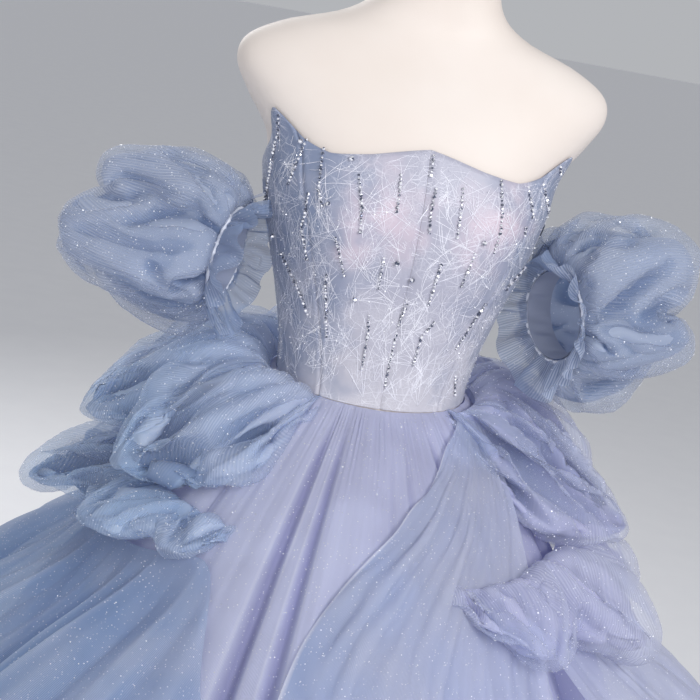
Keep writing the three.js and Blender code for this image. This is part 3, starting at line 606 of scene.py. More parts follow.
def puff_point(sleeve, count, v, seed):
    """Sleeve puff: from the band, out over its lobes and in to the cuff opening, with how far it crumples."""
    _, hand, centre, lobes = sleeve
    start = np.where(v < 0.5, ON_BAND, CUFF_RADIUS)
    swell = np.sin(np.pi * v) ** 0.6
    radius = start + (counted(lobes, count, "reach", LOBE_CRISP) - start) * swell
    along = (0.5 - 0.5 * np.cos(np.pi * v)) ** 1.1
    place = PUFF_FROM + (counted(lobes, count, "long", LOBE_CRISP) - PUFF_INSET - PUFF_FROM) * along
    edge = np.minimum(v, 1 - v)
    gathers = 2.0 * noise(count * 8, seed + 3) * (1 - rise(0.05, 0.3, edge))
    small = crumple(PUFF_CRUMPLE, count, v, seed) * rise(0.03, 0.3, edge) + gathers * rise(0, 0.04, edge)
    return sleeve_point(centre, hand, counted(lobes, count, "at", 1), radius, place), small


def frill_point(sleeve, count, v, seed):
    """Sleeve frill: from the band's rim, flaring in close gathers to a free edge."""
    _, hand, centre, lobes = sleeve
    wave = np.cos(2 * np.pi * count)
    reach = counted(lobes, count, "frill", LOBE_CRISP)
    radius = ON_BAND + (3 * SEAM + reach + FRILL_WAVE[0] * wave) * v**0.8
    place = PUFF_FROM - FRILL_SETBACK - FRILL_DEPTH * v**1.1 + FRILL_WAVE[1] * wave * v
    gather = 4.5 * noise(count * 5, seed) + 1.8 * noise(count * 13, seed + 1)
    swing = 3.5 * noise(count * 5 + 0.5, seed + 2) * rise(0, 0.6, v)
    degrees = counted(lobes, count, "at", 1) + swing
    return sleeve_point(centre, hand, degrees, radius, place + gather * rise(0, 0.5, v))


def directions(points, ring):
    """Unit direction across the faces of a lattice of points."""
    if ring:
        padded = np.concatenate([points[:, -1:], points, points[:, :1]], axis=1)
        across = padded[:, 2:] - padded[:, :-2]
    else:
        across = np.gradient(points, axis=1)
    below = np.gradient(points, axis=0)
    return unit(np.cross(below, across))


def link(name, mesh):
    """Object for a mesh, in the scene."""
    piece = bpy.data.objects.new(name, mesh)
    bpy.context.scene.collection.objects.link(piece)
    return piece


def faces_mesh(name, points, faces, smooth=True):
    """Mesh from arrays of points in millimetres and of faces with equally many corners."""
    mesh = bpy.data.meshes.new(name)
    corners = faces.shape[1]
    mesh.vertices.add(len(points))
    mesh.vertices.foreach_set("co", (points * MM).astype(np.float32).ravel())
    mesh.loops.add(faces.size)
    mesh.loops.foreach_set("vertex_index", faces.astype(np.int32).ravel())
    mesh.polygons.add(len(faces))
    mesh.polygons.foreach_set("loop_start", np.arange(0, faces.size, corners, dtype=np.int32))
    mesh.polygons.foreach_set("use_smooth", np.full(len(faces), smooth))
    mesh.update(calc_edges=True)
    return mesh


def arcs(points, axis):
    """Running length along one direction of a lattice, in millimetres."""
    steps = np.linalg.norm(np.diff(points, axis=axis), axis=-1)
    start = np.zeros_like(np.take(steps, [0], axis=axis))
    return np.concatenate([start, np.cumsum(steps, axis=axis)], axis=axis)


def lattice_faces(rows, count, ring):
    """Faces between neighbouring points of a lattice."""
    index = np.arange(rows * count).reshape(rows, count)
    after = np.roll(index, -1, axis=1) if ring else index[:, 1:]
    here = index if ring else index[:, :-1]
    return np.stack([here[:-1], here[1:], after[1:], after[:-1]], axis=-1).reshape(-1, 4)


def cloth(name, points, hand=1, ring=False, tone=None):
    """Sheet through a lattice of points, with its cut's coordinates in metres."""
    rows, count = points.shape[:2]
    quads = lattice_faces(rows, count, ring)
    if hand < 0:
        quads = quads[:, ::-1]
    mesh = faces_mesh(name, points.reshape(-1, 3), quads)
    width = arcs(points, 1)
    widest = width[np.argmax(width[:, -1])]
    across = np.broadcast_to(widest, (rows, count))
    along = np.broadcast_to(arcs(points, 0)[:, count // 2][:, None], (rows, count))
    layer = mesh.uv_layers.new(name="cut")
    uv = np.stack([across, along], axis=-1).reshape(-1, 2) * MM
    layer.data.foreach_set("uv", uv[quads.ravel()].astype(np.float32).ravel())
    if tone is not None:
        shade = mesh.attributes.new("tone", "FLOAT", "POINT")
        shade.data.foreach_set("value", tone.astype(np.float32).ravel())
    piece = link(name, mesh)
    piece["cut_width"] = float(width[:, -1].max() * MM)
    piece["cut_length"] = float(arcs(points, 0)[-1].max() * MM)
    return piece


# Settling of gathered cloth: rounds, what is kept of each move, pull to the solid's form, push from inside
SETTLE_ROUNDS = 130
KEPT_MOVE = 0.88
FORM_PULL = 0.3
PUFF_PUSH = 0.06
OVER_STEP = 1.6
SLANT_HOLD = 0.35
BEND_HOLD = 0.12
FORM_SPREAD = (36, 50)


def averages(points, spreads, ring):
    """Weights that average each point of a lattice with those near it, across and down."""
    made = []
    for axis, spread, closed in ((1, spreads[0], ring), (0, spreads[1], False)):
        total = points.shape[axis]
        place = np.arange(total)
        apart = np.abs(place[:, None] - place)
        if closed:
            apart = np.minimum(apart, total - apart)
        spacing = np.linalg.norm(np.diff(points, axis=axis), axis=-1).mean()
        weights = np.exp(-0.5 * (apart / (spread / spacing)) ** 2)
        made.append(weights / weights.sum(axis=1, keepdims=True))
    return made


def averaged(points, across, down):
    """Lattice averaged by weights across and down."""
    return np.tensordot(across, np.tensordot(down, points, 1), (1, 1)).swapaxes(0, 1)


def threads(points, wide, long, gather, ring):
    """Pairs of lattice points that cloth keeps apart, with the length between them and how firmly."""
    rows, count = points.shape[:2]
    index = np.arange(rows * count).reshape(rows, count)

    def beside(values, step):
        """Columns of a lattice, and those some steps further round."""
        if ring:
            return values, np.roll(values, -step, axis=1)
        return values[:, :-step], values[:, step:]

    near, far = beside(points, 1)
    across = np.linalg.norm(far - near, axis=-1)
    girth = across.sum(axis=1, keepdims=True)
    across = across * wide * (girth.max() / girth) ** gather
    down = np.linalg.norm(np.diff(points, axis=0), axis=-1) * long
    near, far = beside(down, 1)
    slant = np.hypot((across[:-1] + across[1:]) / 2, (near + far) / 2)
    near, far = beside(across, 1)
    here, after = beside(index, 1)
    families = (
        (here, after, across, 1.0),
        (index[:-1], index[1:], down, 1.0),
        (here[:-1], after[1:], slant, SLANT_HOLD),
        (here[1:], after[:-1], slant, SLANT_HOLD),
        (*beside(index, 2), near + far, BEND_HOLD),
        (index[:-2], index[2:], down[:-1] + down[1:], BEND_HOLD),
    )
    columns = zip(*((a, b, apart, np.full(apart.shape, hold)) for a, b, apart, hold in families))
    return [np.concatenate([part.ravel() for part in column]) for column in columns]


def settle(points, start, held, wide, long, gather, ring, push):
    """Lets cloth cut wider than its place buckle into folds about its form, and gives the settled points."""
    rows, count = points.shape[:2]
    first, second, apart, firm = threads(points, wide, long, gather, ring)
    weight = np.bincount(first, firm, rows * count) + np.bincount(second, firm, rows * count)
    free = ~held[..., None]
    across, down = (weights.astype(np.float32) for weights in averages(points, FORM_SPREAD, ring))
    points = points.astype(np.float32)
    apart, firm = apart.astype(np.float32), firm.astype(np.float32)
    now = np.where(free, start, points).astype(np.float32)
    before = now.copy()
    for _ in range(SETTLE_ROUNDS):
        moved = now + KEPT_MOVE * (now - before) * free
        before = now
        moved = moved + push * directions(moved, ring) * free
        flat = moved.reshape(-1, 3)
        line = flat[second] - flat[first]
        length = np.maximum(np.linalg.norm(line, axis=1), 1e-6)
        line = line * (firm * (length - apart) / length / 2)[:, None]
        total = len(flat)
        shift = [np.bincount(first, pull, total) - np.bincount(second, pull, total) for pull in line.T]
        shift = np.stack(shift, axis=1) * (OVER_STEP / weight)[:, None]
        moved = moved + shift.reshape(points.shape) * free
        drift = averaged(moved - points, across, down)
        now = np.where(free, moved - FORM_PULL * drift, points).astype(np.float32)
    return now.astype(float)


def finer(points, count, axis, ring=False):
    """Lattice with more points along one axis, on smooth curves through its own."""
    total = points.shape[axis]
    at = np.linspace(0, total if ring else total - 1, count, endpoint=not ring)
    k = np.minimum(at.astype(int), total - (1 if ring else 2))
    shape = [1, 1, 1]
    shape[axis] = count
    s = (at - k).reshape(shape)

    def take(n):
        return np.take(points, n % total if ring else np.clip(n, 0, total - 1), axis=axis)

    a, b, c, d = take(k - 1), take(k), take(k + 1), take(k + 2)
    return b + 0.5 * s * (c - a + s * (2 * a - 5 * b + 4 * c - d + s * (3 * (b - c) + d - a)))


def face_values(piece, what, width=1):
    """A measure of each face of a piece, in one row."""
    values = np.zeros(len(piece.data.polygons) * width)
    piece.data.polygons.foreach_get(what, values)
    return values


def dress(piece, finish, node=None, held=None):
    """Gives a piece its finish, body and replaced node; for cloth it works out the area of its cut, which is
    not kept.
    """
    piece.data.materials.append(finish)
    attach(piece, "root")
    if node:
        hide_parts(node)
    if held:
        width, length = piece["cut_width"], piece["cut_length"]
        area = min(float(face_values(piece, "area").sum()), width * length)
    return piece


class Finish:
    """Material built up from nodes."""

    def __init__(self, name):
        self.material = bpy.data.materials.new(name)
        self.material.use_nodes = True
        self.tree = self.material.node_tree
        self.tree.nodes.clear()

    def node(self, kind, inputs=(), **settings):
        """New node with settings and with values or links on its inputs."""
        made = self.tree.nodes.new(kind)
        for key, value in settings.items():
            setattr(made, key, value)
        for key, value in dict(inputs).items():
            if isinstance(value, bpy.types.NodeSocket):
                self.tree.links.new(value, made.inputs[key])
            else:
                made.inputs[key].default_value = value
        return made

    def math(self, operation, a, b=0.0, clamp=False):
        """Result of an operation on two values."""
        return self.node("ShaderNodeMath", {0: a, 1: b}, operation=operation, use_clamp=clamp).outputs[0]

    def place(self):
        """Place on the object in metres."""
        return self.node("ShaderNodeTexCoord").outputs["Object"]

    def parts(self, vector):
        """Values of a place along the three axes."""
        return self.node("ShaderNodeSeparateXYZ", {0: vector}).outputs

    def noise(self, scale, detail, where):
        """Even noise from 0 to 1."""
        inputs = {"Vector": where, "Scale": scale, "Detail": detail}
        return self.node("ShaderNodeTexNoise", inputs).outputs["Fac"]

    def cells(self, scale, where, **settings):
        """Uneven cells, so many to a metre."""
        return self.node("ShaderNodeTexVoronoi", {"Vector": where, "Scale": scale}, **settings).outputs

    def pick(self, cells):
        """Random value from 0 to 1 for each cell."""
        return self.node("ShaderNodeSeparateColor", {0: cells["Color"]}).outputs[0]

    def span(self, value, low, high, to_low=0.0, to_high=1.0):
        """Value moved from one range to another, held at its ends."""
        inputs = {0: value, 1: low, 2: high, 3: to_low, 4: to_high}
        return self.node("ShaderNodeMapRange", inputs).outputs[0]

    def blend(self, share, a, b):
        """Two colours mixed."""
        return self.node("ShaderNodeMix", {0: share, 6: a, 7: b}, data_type="RGBA").outputs[2]

    def bump(self, height, strength, distance):
        """Direction of a surface raised by a height."""
        inputs = {"Height": height, "Strength": strength, "Distance": distance}
        return self.node("ShaderNodeBump", inputs).outputs[0]

    def shaded(self, **inputs):
        """Common shader, with words of its inputs joined by underscores."""
        named = {key.replace("_", " "): value for key, value in inputs.items()}
        return self.node("ShaderNodeBsdfPrincipled", named).outputs[0]

    def end(self, surface):
        """Sends a shader to the output."""
        self.node("ShaderNodeOutputMaterial", {"Surface": surface})
        return self.material


def colour(red, green, blue):
    """Colour from its screen values, as light."""
    screen = np.array((red, green, blue)) / 255
    light = np.where(screen <= 0.04045, screen / 12.92, ((screen + 0.055) / 1.055) ** 2.4)
    return (*map(float, light), 1.0)


# Colours of the cloth, the form and the stand
DUSTY_BLUE = colour(136, 163, 201)
PUFF_BLUE = colour(172, 197, 228)
PALE_LILAC = colour(210, 215, 238)
DEEP_LILAC = colour(194, 196, 230)
# Painted shade: darker colours that the tulle takes in the hollows of its folds
PAINTED_SHADE_LILAC = colour(150, 152, 200)
PAINTED_SHADE_BLUE = colour(122, 142, 180)
SLATE_BLUE = colour(150, 168, 200)
LACE_BLUE = colour(126, 137, 164)
LACE_ROSE = colour(206, 188, 200)
LACE_GREY = colour(168, 168, 184)
LACE_PALE = colour(190, 188, 198)
LACE_THREAD = colour(236, 236, 246)
# Near-white of the silver glitter and beads, also the painted highlight on ridges, rims and pleat lines
SILVER_AND_PAINTED_HIGHLIGHT = colour(250, 250, 255)
FORM_CREAM = colour(222, 211, 203)
LINING_GREY = colour(146, 154, 178)
FLOOR_PALE = colour(236, 236, 239)
STAND_GREY = colour(176, 179, 184)
ELASTIC_PALE = colour(222, 226, 238)
FLAKE_SILVER = colour(246, 247, 252)
# Painted shade: dark colour of the beads that lie in shade
BEAD_PAINTED_SHADE = colour(92, 98, 118)
BEAD_CELLS = 420.0
WHITE = (1, 1, 1, 1)


# Range that holds most values of noise
MIDDLE = (0.3, 0.7)
# Tulle: where left and right colours meet in metres, and how far patches shift that
TULLE_MEET = (-0.26, 0.16)
TULLE_PATCHES = 9
PATCH_SHIFT = 0.08
# Painted shade in hollows and painted highlight on bright rims: range of tone, and shares at its ends
PAINTED_SHADE_SHARE = (0.1, 0.8, 0, 0.85)
PAINTED_HIGHLIGHT_SHARE = (-1, 0, 0.75, 0)
# Plissé lines: how far they wander, and their height as a bump
LINE_WANDER = 3
LINE_BUMP = (0.5, 0.0009)
# Specks of glitter: cells to a metre, and the part of a cell that shines
SPECK_CELLS = 330.0
SPECK_PART = 0.22
LIGHT_THROUGH = 0.38


def tulle(name, left, right, hollow, solid, lines, pitch, glitter):
    """Tulle: two colours from side to side, painted shade in hollows and painted highlight on ridges, how
    solid it is, plissé lines with a painted highlight, and glitter.
    """
    f = Finish(name)
    where = f.place()
    patches = f.noise(TULLE_PATCHES, 2, where)
    shift = f.math("ADD", f.parts(where)[0], f.span(patches, *MIDDLE, -PATCH_SHIFT, PATCH_SHIFT))
    base = f.blend(f.span(shift, *TULLE_MEET), left, right)
    # Painted shade in hollows and painted highlight on ridges, blended in from each piece's tone
    deep = f.node("ShaderNodeAttribute", attribute_name="tone").outputs["Fac"]
    base = f.blend(f.span(deep, *PAINTED_SHADE_SHARE), base, hollow)
    base = f.blend(f.span(deep, *PAINTED_HIGHLIGHT_SHARE), base, SILVER_AND_PAINTED_HIGHLIGHT)
    across = f.parts(f.node("ShaderNodeUVMap", uv_map="cut").outputs[0])[0]
    wander = f.span(patches, 0, 1, -LINE_WANDER, LINE_WANDER)
    phase = f.math("ADD", f.math("MULTIPLY", across, 2 * math.pi / (pitch * MM)), wander)
    wave = f.math("SINE", phase)
    shown = f.span(patches, 0.4, 0.6)
    pleat = f.math("MULTIPLY", f.span(wave, -1, 1), shown)
    # Painted highlight: the pleat ridges of the plissé lines painted lighter, besides their bump and their
    # greater density
    base = f.blend(f.math("MULTIPLY", pleat, lines), base, SILVER_AND_PAINTED_HIGHLIGHT)
    cells = f.cells(SPECK_CELLS, where)
    near = f.math("LESS_THAN", cells["Distance"], SPECK_PART)
    bright = f.span(f.pick(cells), 1 - glitter, 1.0, 0, 1)
    speck = f.math("MULTIPLY", near, bright)
    base = f.blend(speck, base, SILVER_AND_PAINTED_HIGHLIGHT)
    facing = f.bump(pleat, *LINE_BUMP)
    rough = f.span(speck, 0, 1, 0.62, 0.2)
    sheen = {"Sheen_Weight": 0.25, "Sheen_Roughness": 0.4, "Specular_IOR_Level": 0.4}
    body = f.shaded(Base_Color=base, Normal=facing, Roughness=rough, **sheen)
    through = f.node("ShaderNodeBsdfTranslucent", {"Color": base, "Normal": facing}).outputs[0]
    thread = f.node("ShaderNodeMixShader", {0: LIGHT_THROUGH, 1: body, 2: through}).outputs[0]
    if solid == 1:
        return f.end(thread)
    density = f.math("ADD", solid, f.math("MULTIPLY", pleat, lines * 0.35))
    density = f.math("ADD", density, f.span(patches, *MIDDLE, -0.05, 0.05))
    density = f.math("MAXIMUM", density, speck, clamp=True)
    clear = f.node("ShaderNodeBsdfTransparent").outputs[0]
    return f.end(f.node("ShaderNodeMixShader", {0: density, 1: clear, 2: thread}).outputs[0])


# Rose patches of the bodice, at the two cups: place in metres, and how wide they are
ROSE_PATCHES = ((-0.037, -0.125, 1.236), (0.088, -0.115, 1.24))
ROSE_WIDE = 0.062
# Cells of the fine and of the wide net, to a metre
LACE_CELLS = (330.0, 95.0)


def lace_ground(name):
    """Satin under lace: grey blue with rose at the cups, pale low in the middle, blue at the sides."""
    f = Finish(name)
    where = f.place()
    x, _, z = f.parts(where)
    patches = f.span(f.noise(26, 3, where), *MIDDLE, -0.03, 0.03)
    side = f.math("ADD", f.math("ABSOLUTE", f.math("SUBTRACT", x, 0.012)), patches)
    middle = f.blend(f.span(f.math("ADD", z, patches), 1.17, 1.06), LACE_GREY, LACE_PALE)
    for spot in ROSE_PATCHES:
        apart = f.node("ShaderNodeVectorMath", {0: where, 1: spot}, operation="DISTANCE").outputs["Value"]
        middle = f.blend(f.span(f.math("ADD", apart, patches), 0, ROSE_WIDE, 0.8, 0), middle, LACE_ROSE)
    base = f.blend(f.span(side, 0.05, 0.125), middle, LACE_BLUE)
    net, wide = (f.cells(scale, where, feature="DISTANCE_TO_EDGE")[0] for scale in LACE_CELLS)
    fine = f.span(net, 0.02, 0.12, 1, 0)
    broad = f.span(wide, 0.0, 0.045, 1, 0)
    shown = f.span(f.noise(34, 2, where), 0.42, 0.6)
    thread = f.math("MULTIPLY", f.math("MAXIMUM", f.math("MULTIPLY", fine, 0.35), broad), shown)
    base = f.blend(f.math("MULTIPLY", thread, 0.6), base, LACE_THREAD)
    facing = f.bump(thread, 0.5, 0.0004)
    rough = f.span(thread, 0, 1, 0.42, 0.7)
    sheen = {"Sheen_Weight": 0.15, "Specular_IOR_Level": 0.45}
    return f.end(f.shaded(Base_Color=base, Normal=facing, Roughness=rough, **sheen))


def beaded(name):
    """Silver-lined beads, some bright silver and some painted dark as painted shade."""
    f = Finish(name)
    pick = f.pick(f.cells(BEAD_CELLS, f.place()))
    base = f.blend(f.span(pick, 0.3, 0.5), BEAD_PAINTED_SHADE, SILVER_AND_PAINTED_HIGHLIGHT)
    return f.end(f.shaded(Base_Color=base, Roughness=0.14, Metallic=0.5))


def plain(name, base, roughness, grain, metallic=0.0):
    """Even surface with a fine grain and a little colour change."""
    f = Finish(name)
    where = f.place()
    patches = f.noise(9, 3, where)
    tone = f.blend(f.span(patches, *MIDDLE, 0, 0.12), base, WHITE)
    speck = f.noise(grain, 2, where)
    facing = f.bump(speck, 0.12, 0.0004)
    rough = f.span(speck, *MIDDLE, roughness - 0.06, roughness + 0.06)
    return f.end(f.shaded(Base_Color=tone, Roughness=rough, Normal=facing, Metallic=metallic))


def add_form(finish, metal):
    """Smooth torso, and a finish for the stand's own solids."""
    u, v = lattice(steps(0, 360, 121)[:-1], steps(FORM["z"][-1], FORM["z"][0], 150))
    points = form_point(u, v, 0.0)
    ends = [np.broadcast_to(points[k].mean(axis=0), points[k].shape) for k in (0, -1)]
    points = np.concatenate([ends[0][None], points, ends[1][None]])
    piece = cloth("torso", points, 1, True)
    dress(piece, finish, "form_torso")
    for name in ("form_base", "form_pole", "form_cap"):
        node = frame["nodes"][name]
        node.data.materials.clear()
        node.data.materials.append(metal)


# Bodice panels: millimetres to a degree, ridge and sink at the seams, unevenness of the face
PANEL_DEGREE = 2.1
SEAM_RIDGE = 0.55
SEAM_SINK = 1.5
PANEL_UNEVEN = 0.5
# Top edge turned in, from inside out: share of the way down and depth below the face
EDGE_TURN = ((0.05, -1.9), (0.0, -1.9), (0.0, -1.0))
EDGE_ROUND = 0.4


def add_bodice(finish):
    """Eight panels with sunk seams and a turned top edge, and the closing strip behind."""
    rows = steps(0, 1, 64)
    made = []
    for side, hand in SIDES:
        for k, panel in enumerate(PANELS):
            u, v = lattice(steps(0, 1, 44), rows)
            tops, waists = BODICE_SEAMS["top"], BODICE_SEAMS["waist"]
            start = tops[k] + (waists[k] - tops[k]) * v + 0.02
            stop = tops[k + 1] + (waists[k + 1] - tops[k + 1]) * v - 0.02
            degrees = hand * (start + (stop - start) * u)
            edge = np.minimum(u, 1 - u) * (stop - start) * PANEL_DEGREE
            lift = SEAM_RIDGE * bell(edge, 5, 2.2) - SEAM_SINK * bell(edge, 0, 1.1)
            lift = lift + PANEL_UNEVEN * noise2(degrees / 9 + 40, v * 7 + 40, SEED + 60)
            outside = bodice_point(degrees, v, lift)
            turned = [bodice_point(degrees[0], at, deep) for at, deep in EDGE_TURN]
            turned[-1][:, 2] += EDGE_ROUND
            points = np.concatenate([np.stack(turned), outside])
            name = f"bodice_{panel}_{side}"
            piece = cloth(f"lace_{panel}_{side}", points, hand)
            dress(piece, finish, name, "stretched")
            made.append(piece)
    u, v = lattice(steps(0, 1, 9), steps(0.01, 0.99, 60))
    points = bodice_point(180, v)
    points[..., 0] = PLACKET_WIDTH * (0.5 - u)
    points[..., 1] += SEAM + TULLE_WALL - 0.8 * (2 * u - 1) ** 4
    placket = cloth("closing_strip", points, 1)
    dress(placket, finish, "bodice_placket", "laid")
    return made


# Drape and over layer: points across and down, coarse and in the piece, facets by depth, width and length
DRAPE_COARSE = (60, 46)
DRAPE_FINE = (180, 140)
DRAPE_FACETS = (5, 70, 230)
OVER_COARSE = (90, 30)
OVER_FINE = (320, 96)
OVER_FACETS = (22, 58, 380)
# Spare width and length of cloth that settles, and how far narrow rows are gathered
DRAPE_FULL = (1.005, 1.005, 0.02)
TIER_FULL = (1.07, 1.03, 0.3)
PUFF_FULL = (1.16, 1.05, 0.6)
FRILL_FULL = (1.12, 1.0, 0.3)
# Width of the drape's lighter free edge, its doubled hem painted as a highlight, and how far painted shade in
# hollows and painted highlight on ridges show
DRAPE_HEM_HIGHLIGHT = 0.012
DRAPE_PAINTED_LIGHT = 0.5
OVER_PAINTED_LIGHT = 0.8


def add_skirt(under, upper):
    """Long gores, front drape and the two halves of the over layer."""
    for name, start, stop, detail in GORES:
        columns = steps(start + GORE_GAP, stop - GORE_GAP, int((stop - start) * detail) + 1)
        u, v = lattice(columns, steps(0, 1, 130) ** 1.25)
        # hollow is the tone of painted shade in the valleys and painted highlight beside them
        points, hollow = long_point(u, v)
        piece = cloth(name.replace("skirt", "long"), points, tone=hollow)
        dress(piece, under, name, "gathered")
    u, v = lattice(steps(0, 1, DRAPE_COARSE[0]), steps(0, 1, DRAPE_COARSE[1]) ** 1.2)
    points = drape_point(u, v)
    held = (v == 0) | (v == 1)
    settled = settle(points, points, held, *DRAPE_FULL, False, 0)
    settled = shown_folds(settled, *DRAPE_FINE, False, 0, (*DRAPE_FACETS, SEED + 5))
    settled = kept_outside(settled, DRAPE_CLEAR)
    # Lighter free edge for the doubled hem, painted as a highlight; elsewhere painted shade in hollows and
    # painted highlight on ridges
    edge = np.broadcast_to(-bell(steps(0, 1, DRAPE_FINE[0]), 0, DRAPE_HEM_HIGHLIGHT), settled.shape[:2])
    tone = np.where(edge < -0.3, edge, DRAPE_PAINTED_LIGHT * painted_fold_light(settled, False, 1))
    drape = cloth("front_drape", settled, tone=tone)
    dress(drape, upper, "skirt_drape", "draped")
    for k, (side, hand, top, ridges) in enumerate(OVERS):
        last = len(ridges["at"]) - 1
        u, v = lattice(steps(0, last, OVER_COARSE[0]), steps(0, 1, OVER_COARSE[1]) ** 1.2)
        points = over_point(hand, top, ridges, u, v, SEED + 20 + 5 * k)
        shown = shown_folds(points, *OVER_FINE, False, 0, (*OVER_FACETS, SEED + 24 + 5 * k))
        shown = kept_outside(shown, OVER_CLEAR)
        # Tone of painted shade in the hollows and painted highlight on the ridges
        piece = cloth(f"over_{side}", shown, hand, tone=OVER_PAINTED_LIGHT * painted_fold_light(shown, False, hand))
        dress(piece, upper, f"skirt_over_{side}", "gathered")


# Tiers and sleeves: points across and down while they settle and in the piece, facets, and jagged edge
TIER_COARSE = (72, 22)
TIER_FINE = {"": (330, 52), "_under": (260, 40)}
SLEEVE_COARSE = (72, 20)
SLEEVE_FINE = {"": (308, 52), "_under": (230, 40)}
FRILL_COARSE = (110, 10)
FRILL_FINE = (380, 22)
TIER_FACETS = {"": (24, 96, 96), "_under": (15, 96, 96)}
PUFF_FACETS = (6, 48, 60)
FRILL_FACETS = (1.5, 14, 30)
TIER_JAG = 0.4
SLEEVE_JAG = 0.3
# Front tips of the tiers: rows over which they are drawn in, full thickness, and tuck towards the skirt
TIER_PINCH = (-0.35, 1.7)
TIER_THICK = 120
TIP_TUCK = 14
TIP_SPAN = (0.1, 1.2)
# Layers of doubled tulle, and how far the second lies inside the first
LAYERS = (("", 0), ("_under", 17))
# Fine ripples, how soon folds fade at free sides, and how far painted shade in hollows and painted highlight
# on ridges show
RIPPLE = 0.8
SIDE_FADE = 14
FACET_WANDER = 0.4
TIER_PAINTED_LIGHT = {1: 0.4, -1: 0.7}
HOLLOW_SPREAD = 14
HOLLOW_DEPTH = 7
HOLLOW_LEAST = -0.3
# Band's crimp and the elastic's gathers
BAND_CRIMP = 2.2
ELASTIC_GATHER = 0.35


def painted_fold_light(points, ring, hand):
    """How far each point lies below (to 1) or above (to -0.3) the average of the cloth about it, used as
    painted shade in hollows and painted highlight on ridges.
    """
    near = averaged(points, *averages(points, (HOLLOW_SPREAD, HOLLOW_SPREAD), ring))
    depth = ((near - points) * directions(points, ring)).sum(axis=-1) * hand
    return np.clip(depth / HOLLOW_DEPTH, HOLLOW_LEAST, 1)


def shown_folds(points, count, rows, ring, jag, facet, full=(1, 1)):
    """Settled cloth with more points: flat facets (depth, width, length, seed), ripples and a jagged edge."""
    points = finer(finer(points, count, 1, ring), rows, 0)
    deep, wide, long, seed = facet
    across, down = lattice(np.arange(count), np.arange(rows))
    shown = np.sin(np.pi * down / (rows - 1))
    cells = np.round(arcs(points, 1)[:, -1].max() / wide)
    x = across / count * cells
    y = down / rows * arcs(points, 0)[-1].mean() / long
    if not ring:
        x = x + FACET_WANDER * noise2(x * 0.6, y * 1.1, seed + 1)
    y = y + FACET_WANDER * noise2(across / count * 8, y, seed + 2) * np.sin(np.pi * across / count)
    ripple = RIPPLE * noise2(across / 5, down / 9, SEED + 8)
    sides = np.interp(across / (count - 1), steps(0, 1, len(full)), full)
    if not ring:
        sides = sides * np.minimum(1, np.minimum(across, count - 1 - across) / count * SIDE_FADE)
    lift = (deep * facets(x, y, seed, int(cells)) + ripple) * np.sqrt(shown) * sides
    points = points + directions(points, ring) * lift[..., None]
    serrate = jag * (2 * (np.arange(count) % 2) - 1) * shown
    return points + directions(points, ring) * serrate[..., None]


def add_tiers(finish, under):
    """Puff tiers of doubled tulle, gathered at the seam and turned under at the fold."""
    for k, (name, rows, hand, over) in enumerate(TIERS):
        count, down = TIER_COARSE
        u, v = lattice(steps(0, len(rows["at"]) - 1, count), steps(0, 1, down))
        seed = SEED + 30 + 6 * k
        for layer, inset in LAYERS:
            points, small = tier_point(rows, hand, over, u, v, seed + inset)
            points = points[:1] + (points - points[:1]) * rise(*TIER_PINCH, u)[..., None]
            facing = directions(points, False) * hand
            thick = np.linalg.norm(points - points[:1], axis=-1).max(axis=0)
            full = np.minimum(1, thick / TIER_THICK)
            outward = unit(points * (1, 1, 0))
            points = points - outward * (TIP_TUCK * (1 - rise(*TIP_SPAN, u)))[..., None]
            points = points - facing * (inset * full * np.sin(np.pi * v))[..., None]
            start = points + facing * (small * full)[..., None]
            held = (v == 0) | (v == 1) | (u == 0) | (u == u.max())
            settled = settle(points, start, held, *TIER_FULL, False, 0)
            facet = (*TIER_FACETS[layer], seed)
            settled = shown_folds(settled, *TIER_FINE[layer], False, TIER_JAG, facet, full)
            # Tone of painted shade in the hollows and painted highlight on the ridges
            tone = TIER_PAINTED_LIGHT[hand] * painted_fold_light(settled, False, hand)
            piece = cloth(name.replace("puff", "tier") + layer, settled, hand, tone=tone)
            replaced = None if layer else name
            dress(piece, under if layer else finish, replaced, "gathered")


